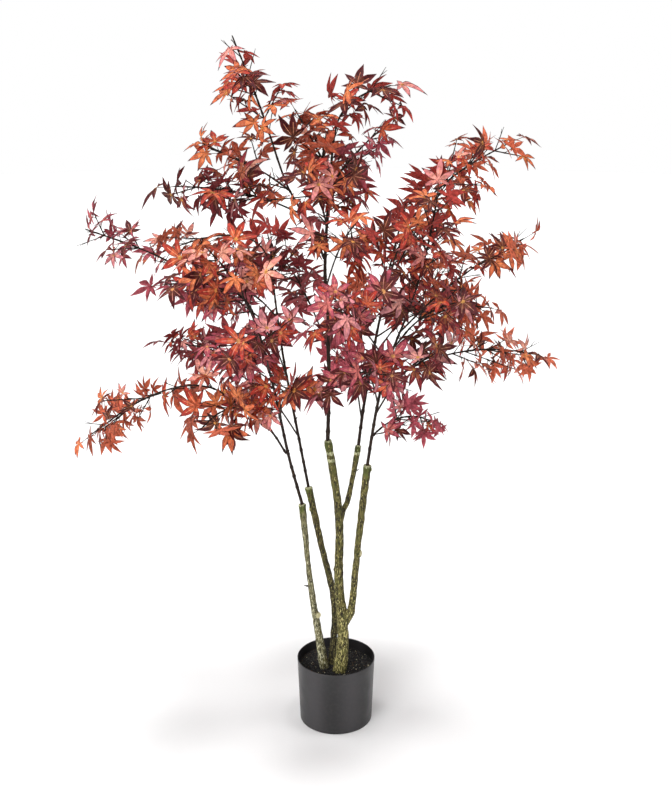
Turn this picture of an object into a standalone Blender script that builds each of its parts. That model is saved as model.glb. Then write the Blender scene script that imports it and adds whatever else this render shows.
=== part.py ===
"""An artificial maple tree in its black nursery pot, 1.2 m tall.

Three bark-covered stems stand in the pot's hard fill, and two more fork from the middle one.
Each of the five ends in a collar, out of which a thin dark leader rises into the crown. The crown
is a set of sprays: every spray is one solid, a stem that leaves a leader or a bough, with side
shoots and star-shaped leaves grown on it by one seeded rule. Metres, +Z up. The origin is the
centre of the pot's flat underside, and the front of the tree looks along -Y.
"""

import math
import random

import bmesh
import bpy
from mathutils import Vector
from mathutils.bvhtree import BVHTree

# Driving dimensions, in metres
TREE_HEIGHT = 1.200
POT_HEIGHT = 0.122
POT_RIM_RADIUS = 0.070
POT_BASE_RADIUS = 0.0655
POT_WALL = 0.0016
POT_FLOOR = 0.0025
POT_EDGE = 0.0015
FILL_DEPTH_BELOW_RIM = 0.017
CLEARANCE = 0.0003
POT_SEGMENTS = 32

# Leaves and twigs, in metres
LEAF_LENGTH = (0.042, 0.058)
LEAF_HALF_THICKNESS = 0.0008
STALK_LENGTH = (0.016, 0.028)
STALK_FOOT_RADIUS = 0.0005
STALK_TOP_RADIUS = 0.0005
SHOOT_LENGTH = (0.062, 0.098)
SHOOT_RADIUS = 0.0010
STEM_RADIUS = (0.0026, 0.0018)
NODE_SPACING = 0.040
LEAF_MARGIN = 0.0012
STEM_POINTS = 5
STEM_SIDES = 3
TRUNK_POINTS = 8
TRUNK_SIDES = 10
LEADER_POINTS = 7
LEADER_SIDES = 6
TRIES = 14
TIP_LEAF_REACH = 0.035

# Where things sit on a spray: distances from the stem's tip in metres, and angles off the stem
# or shoot in degrees
FIRST_SHOOT_FROM_TIP = 0.092
FIRST_PAIR_FROM_TIP = 0.022
SHOOT_ANGLE = 50
SHOOT_TWIST = 40
SIDE_LEAF_ANGLE = 62
PAIR_ANGLE = 60
PAIR_TWIST = 60

# How much wider than its stem the root flare and the collar are, at their end and one step in
ROOT_FLARE = (1.25, 1.05)
COLLAR_FLARE = (1.22, 1.08)

# Leaf outline: five lobes as (angle from the middle lobe, share of the leaf's length)
LOBES = ((-104, 0.66), (-52, 0.92), (0, 1.0), (52, 0.92), (104, 0.66))
NOTCH = 0.34
LOBE_DROOP = 0.16

FILL_TOP = POT_HEIGHT - FILL_DEPTH_BELOW_RIM
STEM_FOOT = FILL_TOP + CLEARANCE
UP = Vector((0, 0, 1))

# Stems: what each one leaves (None for the fill), its way points, and its radius at foot, middle
# and top
TRUNKS = {
    "trunk_centre": (
        None,
        ((0.007, -0.025, STEM_FOOT), (0.013, -0.021, 0.187), (0.006, -0.017, 0.250),
         (0.005, -0.012, 0.330), (0.005, -0.010, 0.408), (-0.014, -0.015, 0.542)),
        (0.0105, 0.0082, 0.0056),
    ),
    "trunk_left": (
        None,
        ((-0.021, -0.013, STEM_FOOT), (-0.043, -0.018, 0.259), (-0.051, -0.024, 0.345),
         (-0.058, -0.030, 0.431)),
        (0.0072, 0.0047, 0.0052),
    ),
    "trunk_back": (
        None,
        ((-0.007, 0.001, STEM_FOOT), (-0.003, 0.006, 0.224), (-0.026, 0.032, 0.325),
         (-0.049, 0.048, 0.432)),
        (0.0062, 0.0058, 0.0056),
    ),
    "trunk_right": (
        "trunk_centre",
        ((0.016, -0.022, 0.192), (0.030, -0.022, 0.250), (0.037, -0.028, 0.340),
         (0.053, -0.040, 0.506)),
        (0.0070, 0.0058, 0.0056),
    ),
    "trunk_fork": (
        "trunk_centre",
        ((0.010, -0.007, 0.400), (0.023, 0.007, 0.433), (0.039, 0.024, 0.519)),
        (0.0050, 0.0046, 0.0044),
    ),
}

# Dark leaders: the stem each one rises from, its way points above that, and its radius at foot,
# middle and tip
LEADERS = {
    "leader_left": (
        "trunk_left",
        ((-0.080, -0.042, 0.525), (-0.101, -0.065, 0.646), (-0.126, -0.098, 0.770)),
        (0.0028, 0.0024, 0.0016),
    ),
    "leader_back": (
        "trunk_back",
        ((-0.067, 0.063, 0.526), (-0.093, 0.090, 0.663), (-0.112, 0.126, 0.800)),
        (0.0026, 0.0023, 0.0016),
    ),
    "leader_centre": (
        "trunk_centre",
        ((-0.012, -0.004, 0.690), (-0.018, 0.006, 0.829), (-0.012, 0.000, 0.950),
         (-0.004, -0.006, 1.040)),
        (0.0034, 0.0028, 0.0016),
    ),
    "leader_fork": (
        "trunk_fork",
        ((0.049, 0.045, 0.589), (0.073, 0.075, 0.719), (0.100, 0.098, 0.830)),
        (0.0029, 0.0025, 0.0016),
    ),
    "leader_right": (
        "trunk_right",
        ((0.067, -0.055, 0.610), (0.085, -0.080, 0.700), (0.112, -0.100, 0.780)),
        (0.0027, 0.0023, 0.0016),
    ),
}

# Boughs: the leader each one leaves and the height there, then as for the leaders
BOUGHS = {
    "bough_top": (
        "leader_centre",
        0.845,
        ((-0.040, -0.018, 0.905), (-0.076, -0.036, 0.972), (-0.100, -0.046, 1.045)),
        (0.0020, 0.0018, 0.0015),
    ),
    "bough_low": (
        "leader_left",
        0.520,
        ((-0.110, -0.052, 0.573), (-0.160, -0.066, 0.622)),
        (0.0019, 0.0017, 0.0014),
    ),
}

# Sprays: the limb each one leaves and the height there (None at the limb's tip), its tip as
# bearing in degrees (0 is +X, 90 is +Y), reach from the tree's axis and height, its arch, how
# many pairs of side shoots it has, the size of its leaves, the seeds of its shoots and leaves,
# and its tint
SPRAYS = {
    "top_left": ("bough_top", None, 195, 0.163, TREE_HEIGHT, 0.000, 2, 0.95, (112, 125), "brick"),
    "top_middle": ("leader_centre", 0.985, 150, 0.105, 1.105, 0.005, 2, 1.00, (214, 232), "orange"),
    "top_right": ("leader_centre", None, 341, 0.116, 1.150, 0.020, 1, 1.00, (314, 332), "brick"),
    "top_pink": ("leader_centre", 0.965, 15, 0.115, 1.070, 0.015, 1, 0.95, (422, 408), "rose"),
    "top_back": ("leader_centre", 0.900, 88, 0.160, 0.985, 0.020, 1, 1.00, (520, 517), "burgundy"),
    "top_front": ("leader_centre", 0.905, 255, 0.200, 0.990, 0.025, 1, 0.95, (600, 616), "brick"),
    "upper_left": ("bough_top", 0.965, 170, 0.235, 1.020, 0.015, 1, 0.85, (720, 724), "orange"),
    "centre_back": ("leader_centre", 0.700, 118, 0.235, 0.800, 0.030, 1, 1.00, (815, 835), "burgundy"),
    "middle_front": ("leader_centre", 0.800, 278, 0.240, 0.925, 0.030, 1, 0.95, (919, 910), "brick"),
    "left_burgundy": ("bough_top", 0.925, 199, 0.295, 0.965, 0.025, 2, 1.00, (1017, 1034), "burgundy"),
    "left_front": ("leader_left", 0.750, 233, 0.320, 0.930, 0.030, 1, 0.95, (1103, 1136), "orange"),
    "left_middle": ("leader_left", None, 205, 0.325, 0.850, 0.015, 2, 0.85, (1203, 1230), "rose"),
    "left_far": ("leader_back", 0.700, 176, 0.415, 0.895, 0.045, 1, 0.80, (1311, 1308), "rose"),
    "left_back": ("leader_back", None, 153, 0.400, 0.830, 0.030, 1, 0.95, (1412, 1422), "orange"),
    "left_dark": ("leader_back", 0.765, 120, 0.255, 0.890, 0.030, 1, 1.00, (1508, 1506), "brick"),
    "left_low": ("leader_back", 0.590, 157, 0.350, 0.655, 0.045, 1, 0.90, (1623, 1606), "burgundy"),
    "low_left": ("bough_low", None, 184, 0.447, 0.550, 0.020, 2, 0.80, (1720, 1705), "orange"),
    "low_front_left": ("bough_low", 0.600, 222, 0.300, 0.615, 0.040, 1, 1.00, (1809, 1804), "orange"),
    "low_front": ("leader_left", 0.590, 252, 0.250, 0.680, 0.040, 1, 0.95, (1900, 1914), "brick"),
    "front_left": ("leader_left", 0.680, 248, 0.340, 0.785, 0.035, 1, 0.95, (2021, 2039), "rose"),
    "back_left": ("leader_back", 0.725, 131, 0.380, 0.735, 0.045, 1, 1.00, (2111, 2107), "rose"),
    "back_left_low": ("leader_back", 0.620, 117, 0.345, 0.655, 0.040, 1, 1.00, (2208, 2224), "burgundy"),
    "low_back_left": ("leader_back", 0.520, 134, 0.300, 0.570, 0.045, 1, 1.00, (2317, 2306), "brick"),
    "front": ("leader_right", 0.690, 267, 0.350, 0.850, 0.030, 1, 0.95, (2415, 2410), "rose"),
    "front_mauve": ("leader_right", 0.620, 274, 0.300, 0.725, 0.040, 1, 0.95, (2519, 2521), "rose"),
    "right_upper": ("leader_right", None, 318, 0.215, 1.010, 0.010, 2, 0.95, (2600, 2615), "brick"),
    "right_top": ("leader_fork", None, 10, 0.318, 1.060, 0.010, 2, 0.85, (2713, 2708), "orange"),
    "right_upper_back": ("leader_fork", 0.780, 38, 0.290, 1.000, 0.030, 1, 1.00, (2806, 2815), "brick"),
    "right_far": ("leader_right", 0.750, 357, 0.330, 0.905, 0.030, 1, 0.95, (2922, 2926), "orange"),
    "right_front": ("leader_right", 0.720, 309, 0.305, 0.835, 0.030, 1, 0.95, (3019, 3036), "burgundy"),
    "right_low_tip": ("leader_right", 0.655, 3, 0.370, 0.675, 0.060, 2, 0.85, (3122, 3130), "orange"),
    "right_low_front": ("leader_right", 0.600, 298, 0.310, 0.750, 0.030, 1, 0.95, (3207, 3205), "burgundy"),
    "right_back": ("leader_fork", 0.700, 29, 0.355, 0.715, 0.050, 2, 0.95, (3308, 3332), "orange"),
    "right_red": ("leader_fork", 0.740, 65, 0.300, 0.895, 0.030, 1, 1.00, (3407, 3410), "brick"),
    "low_right": ("leader_right", 0.560, 22, 0.190, 0.525, 0.040, 1, 0.85, (3522, 3501), "rose"),
    "back_right": ("leader_fork", 0.660, 52, 0.370, 0.745, 0.040, 2, 1.00, (3619, 3610), "brick"),
    "back_middle": ("leader_fork", 0.620, 86, 0.355, 0.705, 0.040, 1, 1.00, (3723, 3735), "orange"),
    "back_low": ("leader_fork", 0.560, 88, 0.300, 0.590, 0.045, 1, 1.00, (3815, 3806), "rose"),
}

# Sprays whose stem ends bare
BARE_TIPS = ("top_left", "left_far")

# Leaf tints as sRGB colours
TINTS = {"brick": "9C4237", "orange": "B85C36", "burgundy": "74303A", "rose": "A9606A"}


def linear(hex_colour):
    """An sRGB hex colour as linear red, green, blue and alpha."""
    values = [int(hex_colour[i : i + 2], 16) / 255 for i in (0, 2, 4)]
    return [v / 12.92 if v <= 0.04045 else ((v + 0.055) / 1.055) ** 2.4 for v in values] + [1.0]


def material(name, hex_colour, roughness):
    """A plain Principled material, made once and then shared."""
    if name in bpy.data.materials:
        return bpy.data.materials[name]
    made = bpy.data.materials.new(name)
    made.use_nodes = True
    shader = made.node_tree.nodes["Principled BSDF"]
    shader.inputs["Base Color"].default_value = linear(hex_colour)
    shader.inputs["Roughness"].default_value = roughness
    made.diffuse_color = linear(hex_colour)
    return made


def add_object(name, points, faces, surface, smooth=False):
    """A mesh object of the given points and faces, with one material."""
    mesh = bpy.data.meshes.new(name)
    mesh.from_pydata([tuple(p) for p in points], [], faces)
    mesh.materials.append(surface)
    if smooth:
        mesh.shade_smooth()
        mesh.set_sharp_from_angle(angle=math.radians(45))
    obj = bpy.data.objects.new(name, mesh)
    bpy.context.scene.collection.objects.link(obj)
    return obj


def smooth_path(way_points, count):
    """Points spaced along a smooth curve through the way points."""
    knots = [Vector(p) for p in way_points]
    knots = [knots[0] * 2 - knots[1]] + knots + [knots[-1] * 2 - knots[-2]]
    spans = len(knots) - 3
    path = []
    for step in range(count):
        place = step / (count - 1) * spans
        i = min(int(place), spans - 1)
        u = place - i
        a, b, c, d = knots[i : i + 4]
        square = (2 * a - 5 * b + 4 * c - d) * u**2
        cube = (3 * b - a - 3 * c + d) * u**3
        path.append(0.5 * (2 * b + (c - a) * u + square + cube))
    return path


def bend(start, middle, end, count):
    """Points along a curve that leaves start towards middle and arrives at end."""
    steps = [i / (count - 1) for i in range(count)]
    return [start * (1 - t) ** 2 + middle * 2 * t * (1 - t) + end * t**2 for t in steps]


def three_stage(radii, t):
    """The radius at share t of a limb, from its radii at foot, middle and top."""
    foot, middle, top = radii
    return foot + (middle - foot) * 2 * t if t < 0.5 else middle + (top - middle) * (2 * t - 1)


def tangent(path, i):
    """The direction of a path at its point i."""
    return (path[min(i + 1, len(path) - 1)] - path[max(i - 1, 0)]).normalized()


def tube(path, radii, sides, level_foot=False):
    """Points and faces of a closed tube along a path, with flat ends."""
    points = []
    first = tangent(path, 0)
    side = first.orthogonal() if abs(first.z) > 0.9 else UP
    for i, (centre, radius) in enumerate(zip(path, radii)):
        along = UP if level_foot and i == 0 else tangent(path, i)
        side = (side - along * side.dot(along)).normalized()
        across = along.cross(side)
        for k in range(sides):
            angle = 2 * math.pi * k / sides
            points.append(centre + (side * math.cos(angle) + across * math.sin(angle)) * radius)
    faces = [list(range(sides))[::-1], [len(points) - sides + k for k in range(sides)]]
    for i in range(len(path) - 1):
        for k in range(sides):
            a = i * sides + k
            b = i * sides + (k + 1) % sides
            faces.append([a, b, b + sides, a + sides])
    return points, faces


def at_height(path, radii, height):
    """The point, direction and radius of a limb where its axis crosses a height."""
    for i in range(len(path) - 1):
        low, high = path[i], path[i + 1]
        if low.z <= height <= high.z:
            t = (height - low.z) / (high.z - low.z)
            return low.lerp(high, t), (high - low).normalized(), radii[i] + (radii[i + 1] - radii[i]) * t
    raise ValueError(f"no point of the limb is at height {height}")


def side_start(limb, height, target, radius):
    """Where a stem that heads for the target starts, clear of the limb's surface."""
    centre, along, limb_radius = at_height(*limb, height)
    heading = (target - centre).normalized()
    cosine = abs(heading.dot(along))
    sine = math.sqrt(1 - cosine**2)
    return centre + heading * ((limb_radius + CLEARANCE + radius * cosine) / sine)


def tip_start(limb, target, radius):
    """Where a stem that heads for the target starts, clear of the limb's tip."""
    path = limb[0]
    along = tangent(path, len(path) - 1)
    heading = (target - path[-1]).normalized()
    cosine = heading.dot(along)
    sine = math.sqrt(max(0, 1 - cosine**2))
    return path[-1] + heading * ((CLEARANCE + radius * sine) / cosine)


def seat(path, radii, sides, limb, limb_sides):
    """Moves a path's first point so that the tube on it starts just clear of the limb it leaves."""
    tree = BVHTree.FromPolygons(*tube(*limb, limb_sides))
    for _ in range(10):
        rings = tube(path, radii, sides)[0][: 2 * sides]
        probes = [a.lerp(b, t) for a in rings for b in rings for t in (0.25, 0.5, 1.0)]
        gap = min(tree.find_nearest(probe)[3] for probe in probes)
        path[0] = path[0] + (path[0] - path[1]).normalized() * (gap - CLEARANCE - 0.0001)


def grow_trunks():
    """Path and radii of every bark-covered stem, with its root flare and its collar."""
    limbs = {}
    for name, (parent, way_points, radii) in TRUNKS.items():
        path = smooth_path(way_points, TRUNK_POINTS)
        if parent:
            start = side_start(limbs[parent], path[0].z, path[1], radii[0])
            path = smooth_path((start,) + way_points[1:], TRUNK_POINTS)
        run = [three_stage(radii, i / (TRUNK_POINTS - 1)) for i in range(TRUNK_POINTS)]
        if parent:
            seat(path, run, TRUNK_SIDES, limbs[parent], TRUNK_SIDES)
        else:
            run[0] *= ROOT_FLARE[0]
            run[1] *= ROOT_FLARE[1]
        run[-1] *= COLLAR_FLARE[0]
        run[-2] *= COLLAR_FLARE[1]
        limbs[name] = (path, run)
    return limbs


def grow_limb(limbs, name, parent, start, way_points, radii):
    """Adds the path and radii of one leader or bough to the limbs."""
    path = smooth_path((start,) + way_points, LEADER_POINTS)
    run = [three_stage(radii, i / (LEADER_POINTS - 1)) for i in range(LEADER_POINTS)]
    seat(path, run, LEADER_SIDES, limbs[parent], sides_of(parent))
    limbs[name] = (path, run)


def sides_of(name):
    """How many sides the tube of a limb has."""
    return TRUNK_SIDES if name in TRUNKS else LEADER_SIDES


def grow_leaders(limbs):
    """Adds the path and radii of every leader and bough to the limbs."""
    for name, (parent, way_points, radii) in LEADERS.items():
        target = Vector(way_points[0])
        start = tip_start(limbs[parent], target, radii[0])
        grow_limb(limbs, name, parent, start, way_points, radii)
    for name, (parent, height, way_points, radii) in BOUGHS.items():
        start = side_start(limbs[parent], height, Vector(way_points[0]), radii[0])
        grow_limb(limbs, name, parent, start, way_points, radii)


def spray_tip(bearing, reach, height):
    """A spray's tip from its bearing in degrees, its reach and its height."""
    angle = math.radians(bearing)
    return Vector((reach * math.cos(angle), reach * math.sin(angle), height))


def stem_radii():
    """The radii of a spray's stem, from its foot to its tip."""
    foot, tip = STEM_RADIUS
    return [foot + (tip - foot) * i / (STEM_POINTS - 1) for i in range(STEM_POINTS)]


def grow_stem(limbs, row, bare):
    """The path of a spray's stem, from its limb to its tip."""
    parent, height, bearing, reach, tip_height, arch = row[:6]
    tip = spray_tip(bearing, reach, tip_height)
    if not bare:
        tip -= (tip - limbs[parent][0][-1]).normalized() * TIP_LEAF_REACH
    if height is None:
        along = tangent(limbs[parent][0], len(limbs[parent][0]) - 1)
        foot = limbs[parent][0][-1]
        middle = foot + along * (tip - foot).length * 0.4 + UP * arch
        start = tip_start(limbs[parent], middle, STEM_RADIUS[0])
    else:
        foot = at_height(*limbs[parent], height)[0]
        middle = foot.lerp(tip, 0.45) + UP * arch
        start = side_start(limbs[parent], height, middle, STEM_RADIUS[0])
    path = bend(start, middle, tip, STEM_POINTS)
    seat(path, stem_radii(), STEM_SIDES, limbs[parent], LEADER_SIDES)
    return path


def along_path(path, distance_from_tip):
    """The point and direction of a path at a distance from its tip."""
    left = distance_from_tip
    for i in range(len(path) - 1, 0, -1):
        step = (path[i] - path[i - 1]).length
        if left <= step:
            return path[i].lerp(path[i - 1], left / step), (path[i] - path[i - 1]).normalized()
        left -= step
    return path[0], (path[1] - path[0]).normalized()


def random_direction(rng):
    """A direction with no preference."""
    z = rng.uniform(-1, 1)
    angle = rng.uniform(0, 2 * math.pi)
    flat = math.sqrt(1 - z * z)
    return Vector((flat * math.cos(angle), flat * math.sin(angle), z))


def turned(direction, aside, degrees):
    """A direction turned by an angle towards another one that is square to it."""
    angle = math.radians(degrees)
    return (direction * math.cos(angle) + aside * math.sin(angle)).normalized()


class Leaf:
    """One leaf on its stalk: a star of five lobes, thickest in the middle."""

    def __init__(self, rng, root, heading, stalk, foot_radius, length):
        self.root = root
        self.heading = heading
        self.foot_radius = foot_radius
        self.length = length
        self.centre = root + heading * stalk
        outward = (self.centre - Vector((0, 0, 0.68))).normalized()
        facing = UP * 0.30 + outward * 0.50 + random_direction(rng) * 0.75
        rise = min(max(facing.normalized().dot(heading), 0.30), 0.70)
        aside = (facing - heading * facing.dot(heading)).normalized()
        fall = math.sqrt(1 - rise * rise)
        self.normal = aside * fall + heading * rise
        self.forward = heading * fall - aside * rise
        self.lobes = [rng.uniform(0.92, 1.06) for _ in LOBES]
        self.curl = [rng.uniform(-0.05, 0.05) for _ in LOBES]

    def place(self, angle, share, drop):
        """A point of the blade from its angle, its share of the length and its drop."""
        across = self.normal.cross(self.forward)
        flat = self.forward * math.cos(angle) + across * math.sin(angle)
        return self.centre + (flat * share - self.normal * drop) * self.length

    def outline(self, scale=1.0):
        """The tips and notches round the blade."""
        ring = []
        for k, (degrees, share) in enumerate(LOBES):
            reach = share * self.lobes[k] * scale
            ring.append(self.place(math.radians(degrees), reach, LOBE_DROOP * share**2 + self.curl[k]))
            if k < len(LOBES) - 1:
                between = (degrees + LOBES[k + 1][0]) / 2
                ring.append(self.place(math.radians(between), NOTCH * scale, 0.02))
        return ring

    def solid(self):
        """Points and faces of the blade and its stalk as one closed body."""
        ring = self.outline()
        count = len(ring)
        under = self.centre - self.normal * (LEAF_HALF_THICKNESS + 0.0004)
        side = (self.normal - self.heading * self.normal.dot(self.heading)).normalized()
        across = self.heading.cross(side)
        ends = []
        for centre, radius in ((under, STALK_TOP_RADIUS), (self.root, self.foot_radius)):
            for k in range(3):
                angle = 2 * math.pi * k / 3 + math.pi
                ends.append(centre + (side * math.cos(angle) + across * math.sin(angle)) * radius)
        points = ring + [self.centre + self.normal * LEAF_HALF_THICKNESS] + ends
        top, under_first, root_first = count, count + 1, count + 4
        faces = [[i, (i + 1) % count, top] for i in range(count)]
        middles = [(ring[i] + ring[(i + 1) % count]) / 2 for i in range(count)]
        near = [self.nearest(m, ends[:3]) for m in middles]
        for i in range(count):
            faces.append([(i + 1) % count, i, under_first + near[i]])
            if near[i] != near[i - 1]:
                faces.append([i, under_first + near[i - 1], under_first + near[i]])
        turn = [k for i, k in enumerate(near) if k != near[i - 1]]
        for a, b in zip(turn, turn[1:] + turn[:1]):
            faces.append([under_first + a, root_first + a, root_first + b, under_first + b])
        faces.append([root_first + k for k in reversed(turn)])
        return points, faces

    def bearing(self, point):
        """The direction of a point from the blade's middle, in the blade's plane."""
        way = point - self.centre
        flat = Vector((way.dot(self.forward), way.dot(self.normal.cross(self.forward))))
        return flat.normalized()

    def nearest(self, point, corners):
        """Which of the stalk's corners lies nearest in bearing to a point of the outline."""
        way = self.bearing(point)
        return max(range(3), key=lambda k: way.dot(self.bearing(corners[k])))

    def guard(self):
        """The blade swollen by the margin kept round it, as a search tree."""
        ring = self.outline(1.04)
        count = len(ring)
        swell = LEAF_HALF_THICKNESS + LEAF_MARGIN
        points = ring + [self.centre + self.normal * swell, self.centre - self.normal * swell]
        faces = [[i, (i + 1) % count, count] for i in range(count)]
        faces += [[(i + 1) % count, i, count + 1] for i in range(count)]
        return BVHTree.FromPolygons(points, faces)

    def stalk_guard(self):
        """The stalk swollen by half the margin, short of its two ends, as a search tree."""
        path = [self.root + self.heading * 0.004, self.centre - self.heading * 0.002]
        return BVHTree.FromPolygons(*tube(path, [self.foot_radius + LEAF_MARGIN / 2] * 2, STEM_SIDES))

    def stalk(self):
        """Points and faces of the stalk alone."""
        return tube([self.root, self.centre], [self.foot_radius, STALK_TOP_RADIUS], 3)


class Crown:
    """Every piece grown so far, so that a new one can keep clear of them."""

    def __init__(self):
        self.pieces = []

    def add(self, shape, spray, kind):
        """Notes a piece by its points and faces."""
        points, faces = shape
        middle = sum(points, Vector()) / len(points)
        reach = max((p - middle).length for p in points)
        self.pieces.append((middle, reach, BVHTree.FromPolygons(points, faces), spray, kind))

    def is_free(self, middle, reach, tree, spray, own_kinds):
        """Whether a new piece touches nothing but the named kinds of its own spray."""
        for other_middle, other_reach, other_tree, other_spray, kind in self.pieces:
            if other_spray == spray and kind in own_kinds:
                continue
            if (other_middle - middle).length < other_reach + reach and tree.overlap(other_tree):
                return False
        return True


class Spray:
    """One mass of the crown: its stem, its side shoots and its leaves."""

    def __init__(self, name, path, pairs, size, seeds, tint):
        self.name = "spray_" + name
        self.bare = name in BARE_TIPS
        self.tint = tint
        self.pairs = pairs
        self.size = size
        shoot_seed, self.leaf_seed = seeds
        self.rng = random.Random(shoot_seed)
        self.stem = path
        self.shoots = []
        self.leaves = []

    def frame(self, along, turn):
        """A direction square to a stem, turned about it from level by an angle in degrees."""
        level = along.cross(UP).normalized()
        return turned(level, along.cross(level).normalized(), turn)

    def add_leaf(self, crown, root, heading, stalk, foot_radius, size):
        """Grows one leaf that keeps clear of the rest, or none."""
        for attempt in range(TRIES):
            spread = 0.15 + 0.07 * attempt
            way = (heading + random_direction(self.rng) * spread).normalized()
            length = self.rng.uniform(*LEAF_LENGTH) * size * self.size * (1 - 0.015 * attempt)
            reach = self.rng.uniform(*stalk) * (1 - 0.015 * attempt)
            leaf = Leaf(self.rng, root, way, reach, foot_radius, length)
            if max(p.z for p in leaf.outline()) > TREE_HEIGHT - 0.012:
                continue
            if not crown.is_free(leaf.centre, length * 1.15, leaf.guard(), self.name, ()):
                continue
            middle = root.lerp(leaf.centre, 0.5)
            if not crown.is_free(middle, reach, leaf.stalk_guard(), self.name, ("wood",)):
                continue
            self.leaves.append(leaf)
            crown.add(leaf.solid(), self.name, "blade")
            crown.add(leaf.stalk(), self.name, "wood")
            return leaf
        return None

    def grow_shoots(self, crown):
        """Grows the side shoots in opposite pairs, each one ending in a leaf."""
        for k in range(self.pairs):
            root, along = along_path(self.stem, FIRST_SHOOT_FROM_TIP + NODE_SPACING * k)
            aside = self.frame(along, self.rng.uniform(-25, 25) + SHOOT_TWIST * k)
            for side in (aside, -aside):
                heading = turned(along, side, SHOOT_ANGLE)
                shoot = self.add_leaf(crown, root, heading, SHOOT_LENGTH, SHOOT_RADIUS, 1.0)
                if shoot:
                    self.shoots.append(shoot)

    def grow_leaves(self, crown):
        """Grows a leaf on each side shoot, then pairs along the stem and one at its tip."""
        self.rng = random.Random(self.leaf_seed)
        for shoot in self.shoots:
            aside = self.frame(shoot.heading, self.rng.uniform(-40, 40))
            if self.rng.random() < 0.5:
                aside = -aside
            heading = turned(shoot.heading, aside, SIDE_LEAF_ANGLE)
            root = shoot.root.lerp(shoot.centre, 0.45)
            self.add_leaf(crown, root, heading, STALK_LENGTH, STALK_FOOT_RADIUS, 0.92)
        for k in range(2):
            root, along = along_path(self.stem, FIRST_PAIR_FROM_TIP + NODE_SPACING * k)
            aside = self.frame(along, self.rng.uniform(-20, 20) + PAIR_TWIST * k)
            for side in (aside, -aside):
                heading = turned(along, side, PAIR_ANGLE)
                self.add_leaf(crown, root, heading, STALK_LENGTH, STALK_FOOT_RADIUS, 0.95)
        if not self.bare:
            along = tangent(self.stem, len(self.stem) - 1)
            root = self.stem[-1] - along * 0.0015
            self.add_leaf(crown, root, along, STALK_LENGTH, STALK_FOOT_RADIUS, 0.95)


def grow_crown(limbs):
    """All the sprays, wood first, so that leaves keep clear of every stem."""
    crown = Crown()
    for name, (path, radii) in limbs.items():
        for i in range(len(path) - 1):
            crown.add(tube(path[i : i + 2], radii[i : i + 2], 8), name, "limb")
    sprays = []
    for name, row in SPRAYS.items():
        sprays.append(Spray(name, grow_stem(limbs, row, name in BARE_TIPS), *row[6:]))
    for spray in sprays:
        for i in range(len(spray.stem) - 1):
            crown.add(tube(spray.stem[i : i + 2], [STEM_RADIUS[0]] * 2, 3), spray.name, "wood")
    for spray in sprays:
        spray.grow_shoots(crown)
    for spray in sprays:
        spray.grow_leaves(crown)
    return sprays


def keep_largest(obj):
    """Removes every loose scrap and every sealed hollow, leaving the one outer body."""
    work = bmesh.new()
    work.from_mesh(obj.data)
    unseen = set(work.verts)
    bodies = []
    while unseen:
        body = set()
        edge_of_body = [unseen.pop()]
        while edge_of_body:
            vertex = edge_of_body.pop()
            body.add(vertex)
            for edge in vertex.link_edges:
                other = edge.other_vert(vertex)
                if other in unseen:
                    unseen.remove(other)
                    edge_of_body.append(other)
        bodies.append(body)
    bodies.sort(key=len)
    scraps = [vertex for body in bodies[:-1] for vertex in body]
    bmesh.ops.delete(work, geom=scraps, context="VERTS")
    work.to_mesh(obj.data)
    work.free()


def join_spray(spray, surface):
    """The spray as one solid: its stem with every shoot and leaf joined on."""
    body = add_object(spray.name, *tube(spray.stem, stem_radii(), STEM_SIDES), surface)
    pieces = bpy.data.collections.new(spray.name + "_pieces")
    bpy.context.scene.collection.children.link(pieces)
    for leaf in spray.leaves:
        piece = add_object("piece", *leaf.solid(), surface)
        bpy.context.scene.collection.objects.unlink(piece)
        pieces.objects.link(piece)
    join = body.modifiers.new("join", "BOOLEAN")
    join.operation = "UNION"
    join.operand_type = "COLLECTION"
    join.collection = pieces
    join.solver = "EXACT"
    bpy.context.view_layer.objects.active = body
    bpy.ops.object.modifier_apply(modifier=join.name)
    for piece in list(pieces.objects):
        bpy.data.objects.remove(piece)
    bpy.data.collections.remove(pieces)
    keep_largest(body)
    return body


def lathe(name, profile, surface):
    """A solid turned about the Z axis from a profile that starts and ends on it."""
    points = [Vector((0, 0, profile[0][1]))]
    for radius, z in profile[1:-1]:
        for k in range(POT_SEGMENTS):
            angle = 2 * math.pi * k / POT_SEGMENTS
            points.append(Vector((radius * math.cos(angle), radius * math.sin(angle), z)))
    points.append(Vector((0, 0, profile[-1][1])))
    last = len(points) - 1
    faces = []
    for k in range(POT_SEGMENTS):
        n = (k + 1) % POT_SEGMENTS
        faces.append([0, 1 + n, 1 + k])
        faces.append([last, last - POT_SEGMENTS + k, last - POT_SEGMENTS + n])
        for ring in range(len(profile) - 3):
            a = 1 + ring * POT_SEGMENTS
            b = a + POT_SEGMENTS
            faces.append([a + k, a + n, b + n, b + k])
    return add_object(name, points, faces, surface, smooth=True)


def wall_radius(z):
    """The pot's outer radius at a height."""
    return POT_BASE_RADIUS + (POT_RIM_RADIUS - POT_BASE_RADIUS) * z / POT_HEIGHT


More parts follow.
